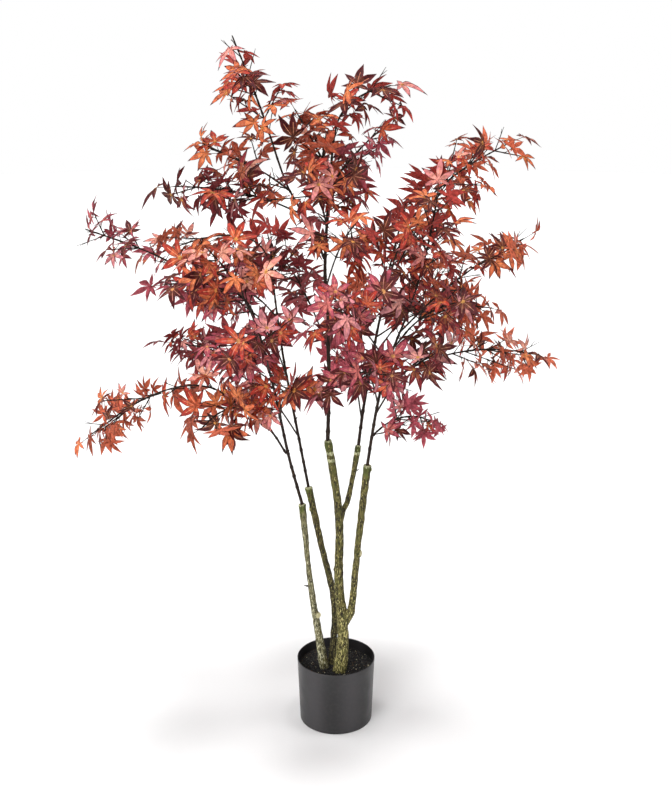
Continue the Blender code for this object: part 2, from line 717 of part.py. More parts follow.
def build_pot():
    """The pot, and the fill that stands inside it with the stems on its top."""
    plastic = material("pot_black_plastic", "3A393B", 0.42)
    gravel = material("fill_dark_grit", "2A2725", 0.95)
    inside = wall_radius(POT_HEIGHT) - POT_WALL
    wall = (
        (0, 0),
        (POT_BASE_RADIUS - POT_EDGE, 0),
        (wall_radius(POT_EDGE), POT_EDGE),
        (POT_RIM_RADIUS, POT_HEIGHT),
        (inside, POT_HEIGHT),
        (wall_radius(POT_FLOOR) - POT_WALL, POT_FLOOR),
        (0, POT_FLOOR),
    )
    lathe("pot", wall, plastic)
    low = POT_FLOOR + CLEARANCE
    gap = POT_WALL + CLEARANCE
    fill = (
        (0, low),
        (wall_radius(low) - gap, low),
        (wall_radius(FILL_TOP) - gap, FILL_TOP),
        (0, FILL_TOP),
    )
    lathe("pot_fill", fill, gravel)


def build():
    """The whole tree, from an empty scene."""
    for obj in list(bpy.data.objects):
        bpy.data.objects.remove(obj)
    build_pot()
    limbs = grow_trunks()
    grow_leaders(limbs)
    bark = material("trunk_bark", "7E7B46", 0.80)
    dark = material("leader_dark_bark", "2E2320", 0.60)
    for name, (path, radii) in limbs.items():
        if name in TRUNKS:
            level = TRUNKS[name][0] is None
            add_object(name, *tube(path, radii, TRUNK_SIDES, level_foot=level), bark, smooth=True)
        else:
            add_object(name, *tube(path, radii, LEADER_SIDES), dark, smooth=True)
    for spray in grow_crown(limbs):
        join_spray(spray, material("leaves_" + spray.tint, TINTS[spray.tint], 0.70))


build()
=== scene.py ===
"""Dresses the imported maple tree: pot, grit, bark, branches, twigs and cloth leaves, on a pale stage.

The object is an artificial maple of 1.2 m in a nursery pot. Its stems, twigs and leaves are grown
again here by the rule of the part's own source and carried on to finer twigs. The file is laid out
as an add-on: every piece has an operator, and its sizes and colours are settings in the sidebar.
Metres, +Z up, origin at the centre of the pot's underside, front along -Y.
"""

import functools
import math
import random

import bmesh
import bpy
from bpy.props import FloatProperty, FloatVectorProperty, IntProperty, PointerProperty
from mathutils import Euler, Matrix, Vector, noise
from mathutils.bvhtree import BVHTree


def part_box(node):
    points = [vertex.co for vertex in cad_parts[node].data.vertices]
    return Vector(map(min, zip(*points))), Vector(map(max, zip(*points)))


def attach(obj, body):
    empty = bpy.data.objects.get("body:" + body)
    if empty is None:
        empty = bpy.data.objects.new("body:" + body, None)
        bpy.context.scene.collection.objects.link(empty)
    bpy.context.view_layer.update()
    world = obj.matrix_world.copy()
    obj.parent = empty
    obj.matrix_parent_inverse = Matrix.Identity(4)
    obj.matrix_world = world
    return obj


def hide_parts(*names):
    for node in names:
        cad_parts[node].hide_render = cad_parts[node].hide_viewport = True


bl_info = {
    "name": "Potted maple",
    "version": (1, 0, 0),
    "blender": (4, 5, 0),
    "location": "3D View > Sidebar > Maple",
    "description": "Builds the visible finish of an artificial maple tree in its pot",
    "category": "Object",
}

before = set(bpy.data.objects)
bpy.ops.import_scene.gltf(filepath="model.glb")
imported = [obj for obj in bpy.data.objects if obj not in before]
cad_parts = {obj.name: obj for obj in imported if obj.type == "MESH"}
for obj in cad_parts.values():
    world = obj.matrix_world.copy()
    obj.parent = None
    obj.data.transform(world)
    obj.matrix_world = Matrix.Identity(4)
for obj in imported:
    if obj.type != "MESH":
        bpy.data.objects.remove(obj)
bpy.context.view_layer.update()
FILL_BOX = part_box("pot_fill")

# The tree as the part's own source has it, in metres
TREE_HEIGHT = 1.200
POT_HEIGHT = 0.122
POT_RIM_RADIUS = 0.070
POT_BASE_RADIUS = 0.0655
POT_WALL = 0.0016
POT_FLOOR = 0.0025
FILL_DEPTH_BELOW_RIM = 0.017
CLEARANCE = 0.0003

# Leaves and twigs, in metres
LEAF_LENGTH = (0.042, 0.058)
LEAF_HALF_THICKNESS = 0.0008
LEAF_MARGIN = 0.0012
STALK_LENGTH = (0.016, 0.028)
STALK_FOOT_RADIUS = 0.0005
STALK_TOP_RADIUS = 0.0005
SHOOT_LENGTH = (0.062, 0.098)
SHOOT_RADIUS = 0.0010
STEM_RADIUS = (0.0026, 0.0018)
NODE_SPACING = 0.040
TIP_LEAF_REACH = 0.035
TIP_LEAF_SINK = 0.0015
UNDER_LEAF = 0.0004
ROOM_AT_TOP = 0.012

# How many points the path of each kind of limb has, and how many sides its tube
STEM_POINTS = 5
STEM_SIDES = 3
TRUNK_POINTS = 8
TRUNK_SIDES = 10
LEADER_POINTS = 7
LEADER_SIDES = 6

# How a limb's foot is moved up to its seat: how often, and the spare room left, in metres
SEAT_STEPS = 10
SEAT_SPARE = 0.0001

# Where a stem's curve has its middle: how far a stem at a limb's tip runs on along the limb, and
# how far out one at a limb's side has it, as shares of the way to the stem's tip
TIP_RUN_ON = 0.4
SIDE_MIDDLE = 0.45

# Where things sit on a spray: distances from the stem's tip in metres, angles off the stem or
# shoot in degrees with how far they stray, and the sizes of the leaves there
FIRST_SHOOT_FROM_TIP = 0.092
FIRST_PAIR_FROM_TIP = 0.022
SHOOT_ANGLE = 50
SHOOT_TWIST = 40
SHOOT_STRAY = 25
SIDE_LEAF_ANGLE = 62
SIDE_LEAF_STRAY = 40
SIDE_LEAF_PLACE = 0.45
SIDE_LEAF_SIZE = 0.92
PAIR_ANGLE = 60
PAIR_TWIST = 60
PAIR_STRAY = 20
PAIR_SIZE = 0.95

# How a leaf turns its face: the shares of up, of away from the crown's heart and of chance, and
# the least and the most that it leans along its stalk
CROWN_HEART = Vector((0, 0, 0.68))
FACING = (0.30, 0.50, 0.75)
LEAN = (0.30, 0.70)

# A leaf that isn't free is tried again, each time further astray and a little smaller
TRIES = 14
ASTRAY = 0.15
ASTRAY_MORE = 0.07
SMALLER = 0.015

# The room kept round a leaf while others grow: its scale and reach as shares of the blade's, and
# how far its stalk's guard stops short of the stalk's foot and top, in metres
GUARD_SCALE = 1.04
GUARD_REACH = 1.15
GUARD_FOOT = 0.004
GUARD_TOP = 0.002
LIMB_GUARD_SIDES = 8

# How much wider than its stem the root flare and the collar are, at their end and one step in
ROOT_FLARE = (1.25, 1.05)
COLLAR_FLARE = (1.22, 1.08)

# Leaf outline: five lobes as (angle from the middle lobe, share of the leaf's length)
LOBES = ((-104, 0.66), (-52, 0.92), (0, 1.0), (52, 0.92), (104, 0.66))
LOBE_SCALE = (0.92, 1.06)
LOBE_CURL = (-0.05, 0.05)
LOBE_DROOP = 0.16
NOTCH = 0.34
NOTCH_DROOP = 0.02

FILL_TOP = POT_HEIGHT - FILL_DEPTH_BELOW_RIM
STEM_FOOT = FILL_TOP + CLEARANCE
UP = Vector((0, 0, 1))

# Stems: what each one leaves (None for the fill), its way points, and its radius at foot, middle
# and top
TRUNKS = {
    "trunk_centre": (
        None,
        ((0.007, -0.025, STEM_FOOT), (0.013, -0.021, 0.187), (0.006, -0.017, 0.250),
         (0.005, -0.012, 0.330), (0.005, -0.010, 0.408), (-0.014, -0.015, 0.542)),
        (0.0105, 0.0082, 0.0056),
    ),
    "trunk_left": (
        None,
        ((-0.021, -0.013, STEM_FOOT), (-0.043, -0.018, 0.259), (-0.051, -0.024, 0.345),
         (-0.058, -0.030, 0.431)),
        (0.0072, 0.0047, 0.0052),
    ),
    "trunk_back": (
        None,
        ((-0.007, 0.001, STEM_FOOT), (-0.003, 0.006, 0.224), (-0.026, 0.032, 0.325),
         (-0.049, 0.048, 0.432)),
        (0.0062, 0.0058, 0.0056),
    ),
    "trunk_right": (
        "trunk_centre",
        ((0.016, -0.022, 0.192), (0.030, -0.022, 0.250), (0.037, -0.028, 0.340),
         (0.053, -0.040, 0.506)),
        (0.0070, 0.0058, 0.0056),
    ),
    "trunk_fork": (
        "trunk_centre",
        ((0.010, -0.007, 0.400), (0.023, 0.007, 0.433), (0.039, 0.024, 0.519)),
        (0.0050, 0.0046, 0.0044),
    ),
}

# Dark leaders: the stem each one rises from, its way points above that, and its radius at foot,
# middle and tip
LEADERS = {
    "leader_left": (
        "trunk_left",
        ((-0.080, -0.042, 0.525), (-0.101, -0.065, 0.646), (-0.126, -0.098, 0.770)),
        (0.0028, 0.0024, 0.0016),
    ),
    "leader_back": (
        "trunk_back",
        ((-0.067, 0.063, 0.526), (-0.093, 0.090, 0.663), (-0.112, 0.126, 0.800)),
        (0.0026, 0.0023, 0.0016),
    ),
    "leader_centre": (
        "trunk_centre",
        ((-0.012, -0.004, 0.690), (-0.018, 0.006, 0.829), (-0.012, 0.000, 0.950),
         (-0.004, -0.006, 1.040)),
        (0.0034, 0.0028, 0.0016),
    ),
    "leader_fork": (
        "trunk_fork",
        ((0.049, 0.045, 0.589), (0.073, 0.075, 0.719), (0.100, 0.098, 0.830)),
        (0.0029, 0.0025, 0.0016),
    ),
    "leader_right": (
        "trunk_right",
        ((0.067, -0.055, 0.610), (0.085, -0.080, 0.700), (0.112, -0.100, 0.780)),
        (0.0027, 0.0023, 0.0016),
    ),
}

# Boughs: the leader each one leaves and the height there, then as for the leaders
BOUGHS = {
    "bough_top": (
        "leader_centre",
        0.845,
        ((-0.040, -0.018, 0.905), (-0.076, -0.036, 0.972), (-0.100, -0.046, 1.045)),
        (0.0020, 0.0018, 0.0015),
    ),
    "bough_low": (
        "leader_left",
        0.520,
        ((-0.110, -0.052, 0.573), (-0.160, -0.066, 0.622)),
        (0.0019, 0.0017, 0.0014),
    ),
}

# Sprays: the limb each one leaves and the height there (None at the limb's tip), its tip as
# bearing in degrees (0 is +X, 90 is +Y), reach from the tree's axis and height, its arch, how
# many pairs of side shoots it has, the size of its leaves, the seeds of its shoots and leaves,
# and its tint
SPRAYS = {
    "top_left": ("bough_top", None, 195, 0.163, TREE_HEIGHT, 0.000, 2, 0.95, (112, 125), "brick"),
    "top_middle": ("leader_centre", 0.985, 150, 0.105, 1.105, 0.005, 2, 1.00, (214, 232), "orange"),
    "top_right": ("leader_centre", None, 341, 0.116, 1.150, 0.020, 1, 1.00, (314, 332), "brick"),
    "top_pink": ("leader_centre", 0.965, 15, 0.115, 1.070, 0.015, 1, 0.95, (422, 408), "rose"),
    "top_back": ("leader_centre", 0.900, 88, 0.160, 0.985, 0.020, 1, 1.00, (520, 517), "burgundy"),
    "top_front": ("leader_centre", 0.905, 255, 0.200, 0.990, 0.025, 1, 0.95, (600, 616), "brick"),
    "upper_left": ("bough_top", 0.965, 170, 0.235, 1.020, 0.015, 1, 0.85, (720, 724), "orange"),
    "centre_back": ("leader_centre", 0.700, 118, 0.235, 0.800, 0.030, 1, 1.00, (815, 835), "burgundy"),
    "middle_front": ("leader_centre", 0.800, 278, 0.240, 0.925, 0.030, 1, 0.95, (919, 910), "brick"),
    "left_burgundy": ("bough_top", 0.925, 199, 0.295, 0.965, 0.025, 2, 1.00, (1017, 1034), "burgundy"),
    "left_front": ("leader_left", 0.750, 233, 0.320, 0.930, 0.030, 1, 0.95, (1103, 1136), "orange"),
    "left_middle": ("leader_left", None, 205, 0.325, 0.850, 0.015, 2, 0.85, (1203, 1230), "rose"),
    "left_far": ("leader_back", 0.700, 176, 0.415, 0.895, 0.045, 1, 0.80, (1311, 1308), "rose"),
    "left_back": ("leader_back", None, 153, 0.400, 0.830, 0.030, 1, 0.95, (1412, 1422), "orange"),
    "left_dark": ("leader_back", 0.765, 120, 0.255, 0.890, 0.030, 1, 1.00, (1508, 1506), "brick"),
    "left_low": ("leader_back", 0.590, 157, 0.350, 0.655, 0.045, 1, 0.90, (1623, 1606), "burgundy"),
    "low_left": ("bough_low", None, 184, 0.447, 0.550, 0.020, 2, 0.80, (1720, 1705), "orange"),
    "low_front_left": ("bough_low", 0.600, 222, 0.300, 0.615, 0.040, 1, 1.00, (1809, 1804), "orange"),
    "low_front": ("leader_left", 0.590, 252, 0.250, 0.680, 0.040, 1, 0.95, (1900, 1914), "brick"),
    "front_left": ("leader_left", 0.680, 248, 0.340, 0.785, 0.035, 1, 0.95, (2021, 2039), "rose"),
    "back_left": ("leader_back", 0.725, 131, 0.380, 0.735, 0.045, 1, 1.00, (2111, 2107), "rose"),
    "back_left_low": ("leader_back", 0.620, 117, 0.345, 0.655, 0.040, 1, 1.00, (2208, 2224), "burgundy"),
    "low_back_left": ("leader_back", 0.520, 134, 0.300, 0.570, 0.045, 1, 1.00, (2317, 2306), "brick"),
    "front": ("leader_right", 0.690, 267, 0.350, 0.850, 0.030, 1, 0.95, (2415, 2410), "rose"),
    "front_mauve": ("leader_right", 0.620, 274, 0.300, 0.725, 0.040, 1, 0.95, (2519, 2521), "rose"),
    "right_upper": ("leader_right", None, 318, 0.215, 1.010, 0.010, 2, 0.95, (2600, 2615), "brick"),
    "right_top": ("leader_fork", None, 10, 0.318, 1.060, 0.010, 2, 0.85, (2713, 2708), "orange"),
    "right_upper_back": ("leader_fork", 0.780, 38, 0.290, 1.000, 0.030, 1, 1.00, (2806, 2815), "brick"),
    "right_far": ("leader_right", 0.750, 357, 0.330, 0.905, 0.030, 1, 0.95, (2922, 2926), "orange"),
    "right_front": ("leader_right", 0.720, 309, 0.305, 0.835, 0.030, 1, 0.95, (3019, 3036), "burgundy"),
    "right_low_tip": ("leader_right", 0.655, 3, 0.370, 0.675, 0.060, 2, 0.85, (3122, 3130), "orange"),
    "right_low_front": ("leader_right", 0.600, 298, 0.310, 0.750, 0.030, 1, 0.95, (3207, 3205), "burgundy"),
    "right_back": ("leader_fork", 0.700, 29, 0.355, 0.715, 0.050, 2, 0.95, (3308, 3332), "orange"),
    "right_red": ("leader_fork", 0.740, 65, 0.300, 0.895, 0.030, 1, 1.00, (3407, 3410), "brick"),
    "low_right": ("leader_right", 0.560, 22, 0.190, 0.525, 0.040, 1, 0.85, (3522, 3501), "rose"),
    "back_right": ("leader_fork", 0.660, 52, 0.370, 0.745, 0.040, 2, 1.00, (3619, 3610), "brick"),
    "back_middle": ("leader_fork", 0.620, 86, 0.355, 0.705, 0.040, 1, 1.00, (3723, 3735), "orange"),
    "back_low": ("leader_fork", 0.560, 88, 0.300, 0.590, 0.045, 1, 1.00, (3815, 3806), "rose"),
}

# Sprays whose stem ends bare
BARE_TIPS = ("top_left", "left_far")

# Finer growth, which the solids leave out: distances in metres, angles in degrees. The solids'
# leaves stand for fuller tufts, so each real blade is cut a little smaller than its solid.
BLADE_SCALE = 0.79
FINE_SEED = 7000
FINE_LEAF_SIZE = 0.74
FINE_STALK_LENGTH = (0.007, 0.020)
FINE_SHOOT_LENGTH = (0.028, 0.054)
FINE_SHOOT_RADIUS = 0.0007
FINE_ANGLE = 40
FINE_ON_SHOOT = (0.20, 0.45, 0.75)
FINE_ON_TWIG = (0.35, 0.58, 0.78)
FINE_FROM_TIP = 0.034
FINE_STEP = 0.030
FINE_STEPS = 5
# A long stem bare at its foot is leafed further back, with leaves of this size
STEPS_BACK = {"low_left": 3}
BACK_LEAF_SIZE = 1.1
BARE_TWIG_LENGTH = (0.022, 0.050)
ROOM_OVER_TWIG = 0.003

# Sprays that the photograph shows as open: only every second step of their finer growth has leaves
OPEN_SPRAYS = (
    "top_left", "top_right", "top_pink", "top_front", "upper_left", "left_far", "left_back",
    "low_left", "back_left_low", "low_back_left", "front_mauve", "middle_front",
    "right_low_tip", "right_low_front", "low_right", "right_top",
    "low_front", "front_left", "right_front", "back_middle", "back_low",
)
OPEN_EVERY = 2

# The two small lobes beside the stalk, and how the blade's lobes are divided: shares of a lobe's
# reach from the heart outwards, and shares of its half width from edge to edge
BASAL_LOBES = ((-152, 0.26), (152, 0.26))
BASAL_SCALE = (0.85, 1.1)
LOBE_ROWS = (0.0, 0.10, 0.23, 0.40, 0.60, 0.82, 1.0)
LOBE_STRIPS = (-1.0, -0.82, -0.07, 0.07, 0.82, 1.0)
UNDERSIDE_STRIPS = (-1.0, 0.0, 1.0)
HEART_ROWS = 1
INNER_ROWS = 3
RIB_ROWS = 4
CLOTH_THICKNESS = 0.0003

# How a lobe's reach, curl, width and fold stray, against the rule or the setting, how much wider
# the two small lobes are, and how many blades in ten have a heart of its own colour
REACH_STRAY = (0.90, 1.05)
CURL_STRAY = (-0.7, 1.0)
WIDTH_STRAY = (0.85, 1.12)
FOLD_STRAY = (0.3, 1.3)
BASAL_WIDTH = 1.25
HEARTS = 6

# How the shades of a spray's leaves are dealt: the tint each one starts from, brightness against
# it, how much faded pink is in it, and how often
TINTS = ("brick", "orange", "burgundy", "rose")
DEEP = dict.fromkeys(TINTS, "burgundy")
TURNING = {**dict.fromkeys(TINTS, "brick"), "brick": "orange"}
SHADES = (
    ("deep", DEEP, 0.38, 0.0, 0.27),
    ("full", {}, 1.0, 0.0, 0.32),
    ("pale", {}, 1.40, 0.58, 0.17),
    ("turning", TURNING, 1.0, 0.0, 0.24),
)

# The pot's small forms, in metres: the width of the ring it stands on, the step inside that ring as
# (way in, share of the recess), and its rounded inner corner. The steps are how finely its foot
# edge, outside, lip, inside and inner corner are divided.
FOOT_RING = 0.006
RECESS_STEP = ((0.002, 1.0), (0.0006, 0.4), (0.0, 0.0))
INNER_CORNER = 0.003
EDGE_STEPS = 5
OUTSIDE_STEPS = 14
LIP_STEPS = 8
INSIDE_STEPS = 12
CORNER_STEPS = 4

# How many soft bands of painted sheen run up round the pot's plastic, lighter and darker in turn,
# standing for reflected studio lights, and the bearing of one of them, in degrees from the front
PAINTED_SHEEN_BANDS = 6
PAINTED_SHEEN_TURN = 24

# The top of the grit, in metres: how far it lies below the fill's, its waves as (height, length),
# and how high and how wide it is heaped against a stem. Its rings and sides are how finely it
# is divided.
BED_SINK = 0.0012
BED_WAVES = ((0.0013, 0.011), (0.0006, 0.004))
HEAP_HEIGHT = 0.0030
HEAP_WIDTH = 0.005
BED_RINGS = 30
BED_SIDES = 96

# Loose grains: how far each strays from its even place and keeps from the wall, in metres, their
# sizes against the setting, and how many in a hundred are grit, charcoal, bark chips and pumice.
# Against a grain's size: how long, wide and flat it is, how far its corners lie, how near its
# middle comes to the wall, and how high it lies on the bed.
GRAIN_SEED = 11
GRAIN_STRAY = 0.0012
GRAIN_MARGIN = 0.001
GRAIN_SIZES = (0.55, 0.7, 0.85, 1.0, 1.2, 1.45)
GRAIN_STRETCH = ((0.8, 1.35), (0.7, 1.0), (0.5, 0.8))
GRAIN_CORNERS = (0.82, 1.12)
GRAIN_TO_WALL = 0.4
GRAIN_LIFT = 0.12
GRAIN_KINDS = (60, 28, 9, 3)

# Bark pieces: the stems that grow together in each
BARK_PIECES = {
    "bark_centre": ("trunk_centre", "trunk_right", "trunk_fork"),
    "bark_left": ("trunk_left",),
    "bark_back": ("trunk_back",),
}

# Bark, in metres: how far a fork begins below its seat inside the stem that it leaves, how far a
# stem goes down into the fill, the spacing of its rings before it gets its skin, how wide the
# streaks are that fray its moss, with how much height counts in them and how far they fray it,
# how far from a stub's end its faces are cut wood, and how far a thorn's tip turns up
FORK_DEPTH = 0.028
STEM_IN_FILL = 0.010
BARK_RING = 0.004
STREAK = 0.0026
STREAK_HEIGHT = 0.25
FRAYING = 1.1
CUT_DEPTH = 0.0014
THORN_RISE = 0.001

# The bark's ridges, lumps and crust: each one's share of the relief, its size against the ridges'
# spacing, and how much height counts in it, less than 1 where it runs along the stem
BARK_RELIEF = ((0.55, 1.0, 0.3), (0.65, 3.2, 1.0), (0.28, 0.36, 1.0))

# How the joins of a skin are softened: how far in each pass, and in how many
SKIN_SOFTNESS = 0.5
SKIN_PASSES = 6

# Stubs and thorns: their rise for each step out, how far they are squared to their stem, their
# radii from foot to end against their own, and where their middle is, against the stem's radius
# or the thorn's way. A cut face lies this near the middle of a stub's end, against its radius,
# and looks this squarely along it.
OUT_AND_UP = 0.35
SQUARED = 0.6
STUB_SWELL = (1.5, 1.2, 1.0)
STUB_MIDDLE = 0.8
THORN_TAPER = (1.6, 1.0, 0.35)
THORN_MIDDLE = 0.6
CUT_REACH = 1.02
CUT_FACING = 0.55

# How many sides the forms have that make up the bark
BARK_SIDES = 28
STUB_SIDES = 18
THORN_SIDES = 8

# Heights up the stems, in metres: where the flecks thin out, and where the painted shade at a
# stem's foot gives way to the stem's own brightness
FLECKS_THIN_OUT = (0.14, 0.42)
PAINTED_FOOT_SHADE_HEIGHTS = (0.20, 0.38)

# Places in a piece's list of materials: on the stems, after the bark itself, and on the leaves,
# where two for each shade of the tint come last
MOSS, SAWN, THORN, CHALK = range(1, 5)
HEART, MIDRIB, TIP, UNDERSIDE, MARGIN, FIRST_SHADE = range(6)

# What makes a Mix node mix colours
OF_COLOURS = {"data_type": "RGBA"}

# Cut stubs on the stems: the stem, its height there, the stub's bearing in degrees, its length
# from the stem's axis and its radius
STUBS = (
    ("trunk_left", 0.214, -50, 0.0100, 0.0056),
    ("trunk_right", 0.338, -15, 0.0072, 0.0056),
    ("trunk_right", 0.497, -5, 0.0086, 0.0024),
    ("trunk_centre", 0.300, 160, 0.0098, 0.0040),
    ("trunk_centre", 0.455, 75, 0.0088, 0.0034),
    ("trunk_back", 0.262, 70, 0.0084, 0.0036),
    ("trunk_back", 0.392, 200, 0.0080, 0.0028),
)

# Thorns on the stems, in the same order
THORNS = (
    ("trunk_left", 0.271, 190, 0.0125, 0.0016),
    ("trunk_left", 0.350, 60, 0.0105, 0.0013),
    ("trunk_fork", 0.475, 20, 0.0100, 0.0012),
    ("trunk_back", 0.330, 120, 0.0115, 0.0014),
)

# Branches and twigs, in metres: how deep each kind starts inside what carries it, where a branch
# has its first knot, and the radii of a bare twig and its prong from foot to tip
LEADER_SUNK = 0.010
BOUGH_SUNK = 0.0035
TWIG_SUNK = 0.003
FIRST_KNOT = 0.006
BARE_TWIG_RADII = (0.00085, 0.00070, 0.00035)
PRONG_RADII = (0.00065, 0.00050, 0.00030)

# How much a knot swells a branch, a twig and a side shoot, how far apart a branch's knots are
# against the setting, how many in a hundred have no bud, and a bud's angle off its branch
BRANCH_KNOT = 0.28
TWIG_KNOT = 0.35
SHOOT_KNOT = 0.45
KNOT_GAPS = (0.6, 1.4)
BUDLESS = 45
BUD_ANGLE = (35, 60)

# A bare twig's prong: where it starts as a share of the twig, how far it turns aside at most, in
# degrees, and its length against the rest of the twig
PRONG_START = (0.5, 0.7)
PRONG_ANGLE = 35
PRONG_LENGTH = 0.8

# The grain and lumps of branches and twigs by width, and the length and radii of a bud, in metres.
# The rises are against the radius, and height counts less in the grain, which runs lengthwise.
BRANCH_GRAIN = 0.0022
BRANCH_GRAIN_HEIGHT = 0.35
BRANCH_GRAIN_RISE = 0.10
BRANCH_LUMPS = 0.012
BRANCH_LUMPS_RISE = 0.06
TWIG_LUMPS = 0.006
TWIG_LUMPS_RISE = 0.12
BUD_LENGTH = (0.002, 0.005)
BUD_RADII = (0.0013, 0.0010, 0.0007)

# How many sides the tubes of branches, twigs, shoots and stalks have
BRANCH_SIDES = 14
TWIG_SIDES = 7
SHOOT_SIDES = 6
STALK_SIDES = 5

# Where a bare stem's tip forks: how far back, at what angle, turned how far round at most, and how
# long, in metres and degrees
TIP_FORK_BACK = 0.020
TIP_FORK_ANGLE = 24
TIP_FORK_TURN = 60
TIP_FORK_LENGTH = 0.018

# Side shoots, in metres: how far one stops short of its leaf's middle, and what tells that
# something grows on it: how far past its foot and how near to its line
SHORT_OF_LEAF = 0.0006
PAST_ITS_FOOT = 0.01
ON_THE_SHOOT = 0.001

# A leaf stalk's sag against its length, and its radius from foot to leaf against the setting
STALK_SAG = 0.05
STALK_SWELL = (1.7, 1.2, 1.0, 0.95, 0.95, 1.0, 1.35)

# How much of each other colour is mixed into a tint: at the heart, along the midrib, underneath,
# in the dark margin, and in the blade near the heart and further out. MARGIN_SHADE and OUTER_SHADE
# are brightness against the tint.
HEART_SHARE = 0.66
MIDRIB_SHARE = 0.42
UNDERSIDE_SHARE = 0.65
MARGIN_SHADE = 0.30
MARGIN_SHARE = 0.3
INNER_SHARE = 0.15
OUTER_SHADE = 0.80
OUTER_SHARE = 0.06

# Lights: how far out they hang, and for each the direction that it shines from, the setting that
# gives its strength, and its width as an angle in degrees
LIGHTS_OUT = 3
LIGHTS = {
    "key_light": ((-0.42, -0.85, 0.33), "key", 44),
    "fill_left_light": ((-0.90, 0.10, 0.90), "fill", 40),
    "fill_right_light": ((0.90, -0.10, 0.90), "fill", 40),
    "top_left_light": ((-0.20, -0.02, 1.0), "top", 15),
    "top_right_light": ((0.20, -0.06, 1.0), "top", 15),
    "back_light": ((0.10, 0.80, 0.60), "back", 50),
}

# The floor's sides, and its rings as shares of its radius
FLOOR_SIDES = 96
FLOOR_RINGS = (0.5, 1.0)

# Camera, solved from the photographed pot and the tree's height
CAMERA_PLACE = (0.0, -1.9227, 1.2076)
CAMERA_PITCH = 17.30
FOCAL_PIXELS = 1187.9
IMAGE_HEIGHT = 800
SENSOR = 36.0
FARTHEST_SEEN = 60


def linear(hex_colour):
    """An sRGB hex colour as linear red, green and blue."""
    values = [int(hex_colour[i : i + 2], 16) / 255 for i in (0, 2, 4)]
    return tuple(v / 12.92 if v <= 0.04045 else ((v + 0.055) / 1.055) ** 2.4 for v in values)


def colour_setting(name, description, hex_colour):
    """A colour for the sidebar, from an sRGB hex colour."""
    return FloatVectorProperty(
        name=name, description=description, subtype="COLOR", min=0.0, max=1.0,
        default=linear(hex_colour),
    )


def length_setting(name, description, metres):
    """A length for the sidebar."""
    return FloatProperty(name=name, description=description, default=metres, unit="LENGTH", precision=4)


def number_setting(name, description, default):
    """A plain number for the sidebar."""
    return FloatProperty(name=name, description=description, default=default)


class PotSettings(bpy.types.PropertyGroup):
    """The moulded pot and the grit in it."""

    wall: length_setting("Wall", "Thickness of the pot's wall", POT_WALL)
    foot_edge: length_setting("Foot edge", "Radius of the rounded edge round the foot", 0.0016)
    recess: length_setting("Recess", "How far the underside is raised inside its foot ring", 0.0012)
    segments: IntProperty(name="Segments", description="Faces round the pot", default=144)
    plastic: colour_setting("Plastic", "Colour of the moulded polypropylene", "252325")
    grains: IntProperty(name="Grains", description="How many loose grains lie on the fill", default=3600)
    grain: length_setting("Grain size", "Middle size of a grain of grit", 0.0021)
    grit: colour_setting("Grit", "Colour of the lava grit", "141313")


class BarkSettings(bpy.types.PropertyGroup):
    """The stems with their painted bark."""

    voxel: length_setting("Detail", "Size of the faces of the bark", 0.0011)
    ridge: length_setting("Ridge spacing", "Distance between the ridges of the bark", 0.0042)
    relief: length_setting("Relief", "How far the ridges stand out", 0.0012)
    sleeve: length_setting("Collar", "Length of the mossy collar at each stem's top", 0.019)
    rim: length_setting("Collar rim", "Height of the chalky rim on top of each collar", 0.0024)
    wood: colour_setting("Wood", "Khaki paint of the bark", "655D31")
    shade: colour_setting("Furrows", "Dark wash in the furrows of the bark", "130E06")
    moss: colour_setting("Moss", "Green of the collars", "545A26")
    fleck: colour_setting("Flecks", "Cream flecks on the bark", "B6AD6E")


class BranchSettings(bpy.types.PropertyGroup):
    """The dark branches, twigs and leaf stalks."""

    ring: length_setting("Ring spacing", "Distance between the rings of a branch", 0.0020)
    knot: length_setting("Knot", "Half the length of a knot on a branch", 0.0022)
    knot_gap: length_setting("Knot spacing", "Distance between knots on a branch", 0.027)
    twig_foot: length_setting("Twig at its foot", "Radius of a twig where it leaves its branch", 0.00165)
    twig_tip: length_setting("Twig at its tip", "Radius of a twig at its tip", 0.00110)
    shoot_foot: length_setting("Shoot at its foot", "Radius of a side shoot at its foot", 0.00110)
    shoot_tip: length_setting("Shoot at its tip", "Radius of a side shoot at its tip", 0.00075)
    stalk: length_setting("Stalk", "Radius of a leaf's stalk", 0.00055)
    bark: colour_setting("Branch", "Dark brown of the coated branches", "1E110B")
    edge: colour_setting("Worn branch", "Olive brown where the coating is thin", "3A2A18")


class LeafSettings(bpy.types.PropertyGroup):
    """The cloth leaves and their autumn tints."""

    width: number_setting("Lobe width", "Half a lobe's width over its reach", 0.150)
    fold: number_setting("Fold", "How steeply a lobe's halves rise", 0.52)
    twist: number_setting("Twist", "How much a lobe turns about its midrib", 0.70)
    sweep: number_setting("Sweep", "How far a lobe's tip strays sideways", 0.12)
    curl: number_setting("Curl", "How far a lobe's tip rises or falls", 0.14)
    stray: number_setting("Stray", "How far a lobe turns from its place", 9.0)
    brick: colour_setting("Brick", "Tint of the brick red sprays", "B43A2C")
    orange: colour_setting("Orange", "Tint of the orange sprays", "D97048")
    burgundy: colour_setting("Burgundy", "Tint of the burgundy sprays", "80252B")
    rose: colour_setting("Rose", "Tint of the rose sprays", "B5505F")
    faded: colour_setting("Faded", "Pale pink that the lighter leaves fade to", "DC9FA2")
    heart: colour_setting("Heart", "Colour round the stalk", "D0A050")
    rib: colour_setting("Midrib", "Colour of the pressed midribs", "E0B08C")
    tip: colour_setting("Tips", "Colour of the lobes' tips", "4A1A1E")
    underside: colour_setting("Underside", "Colour of the unprinted side", "8E4446")


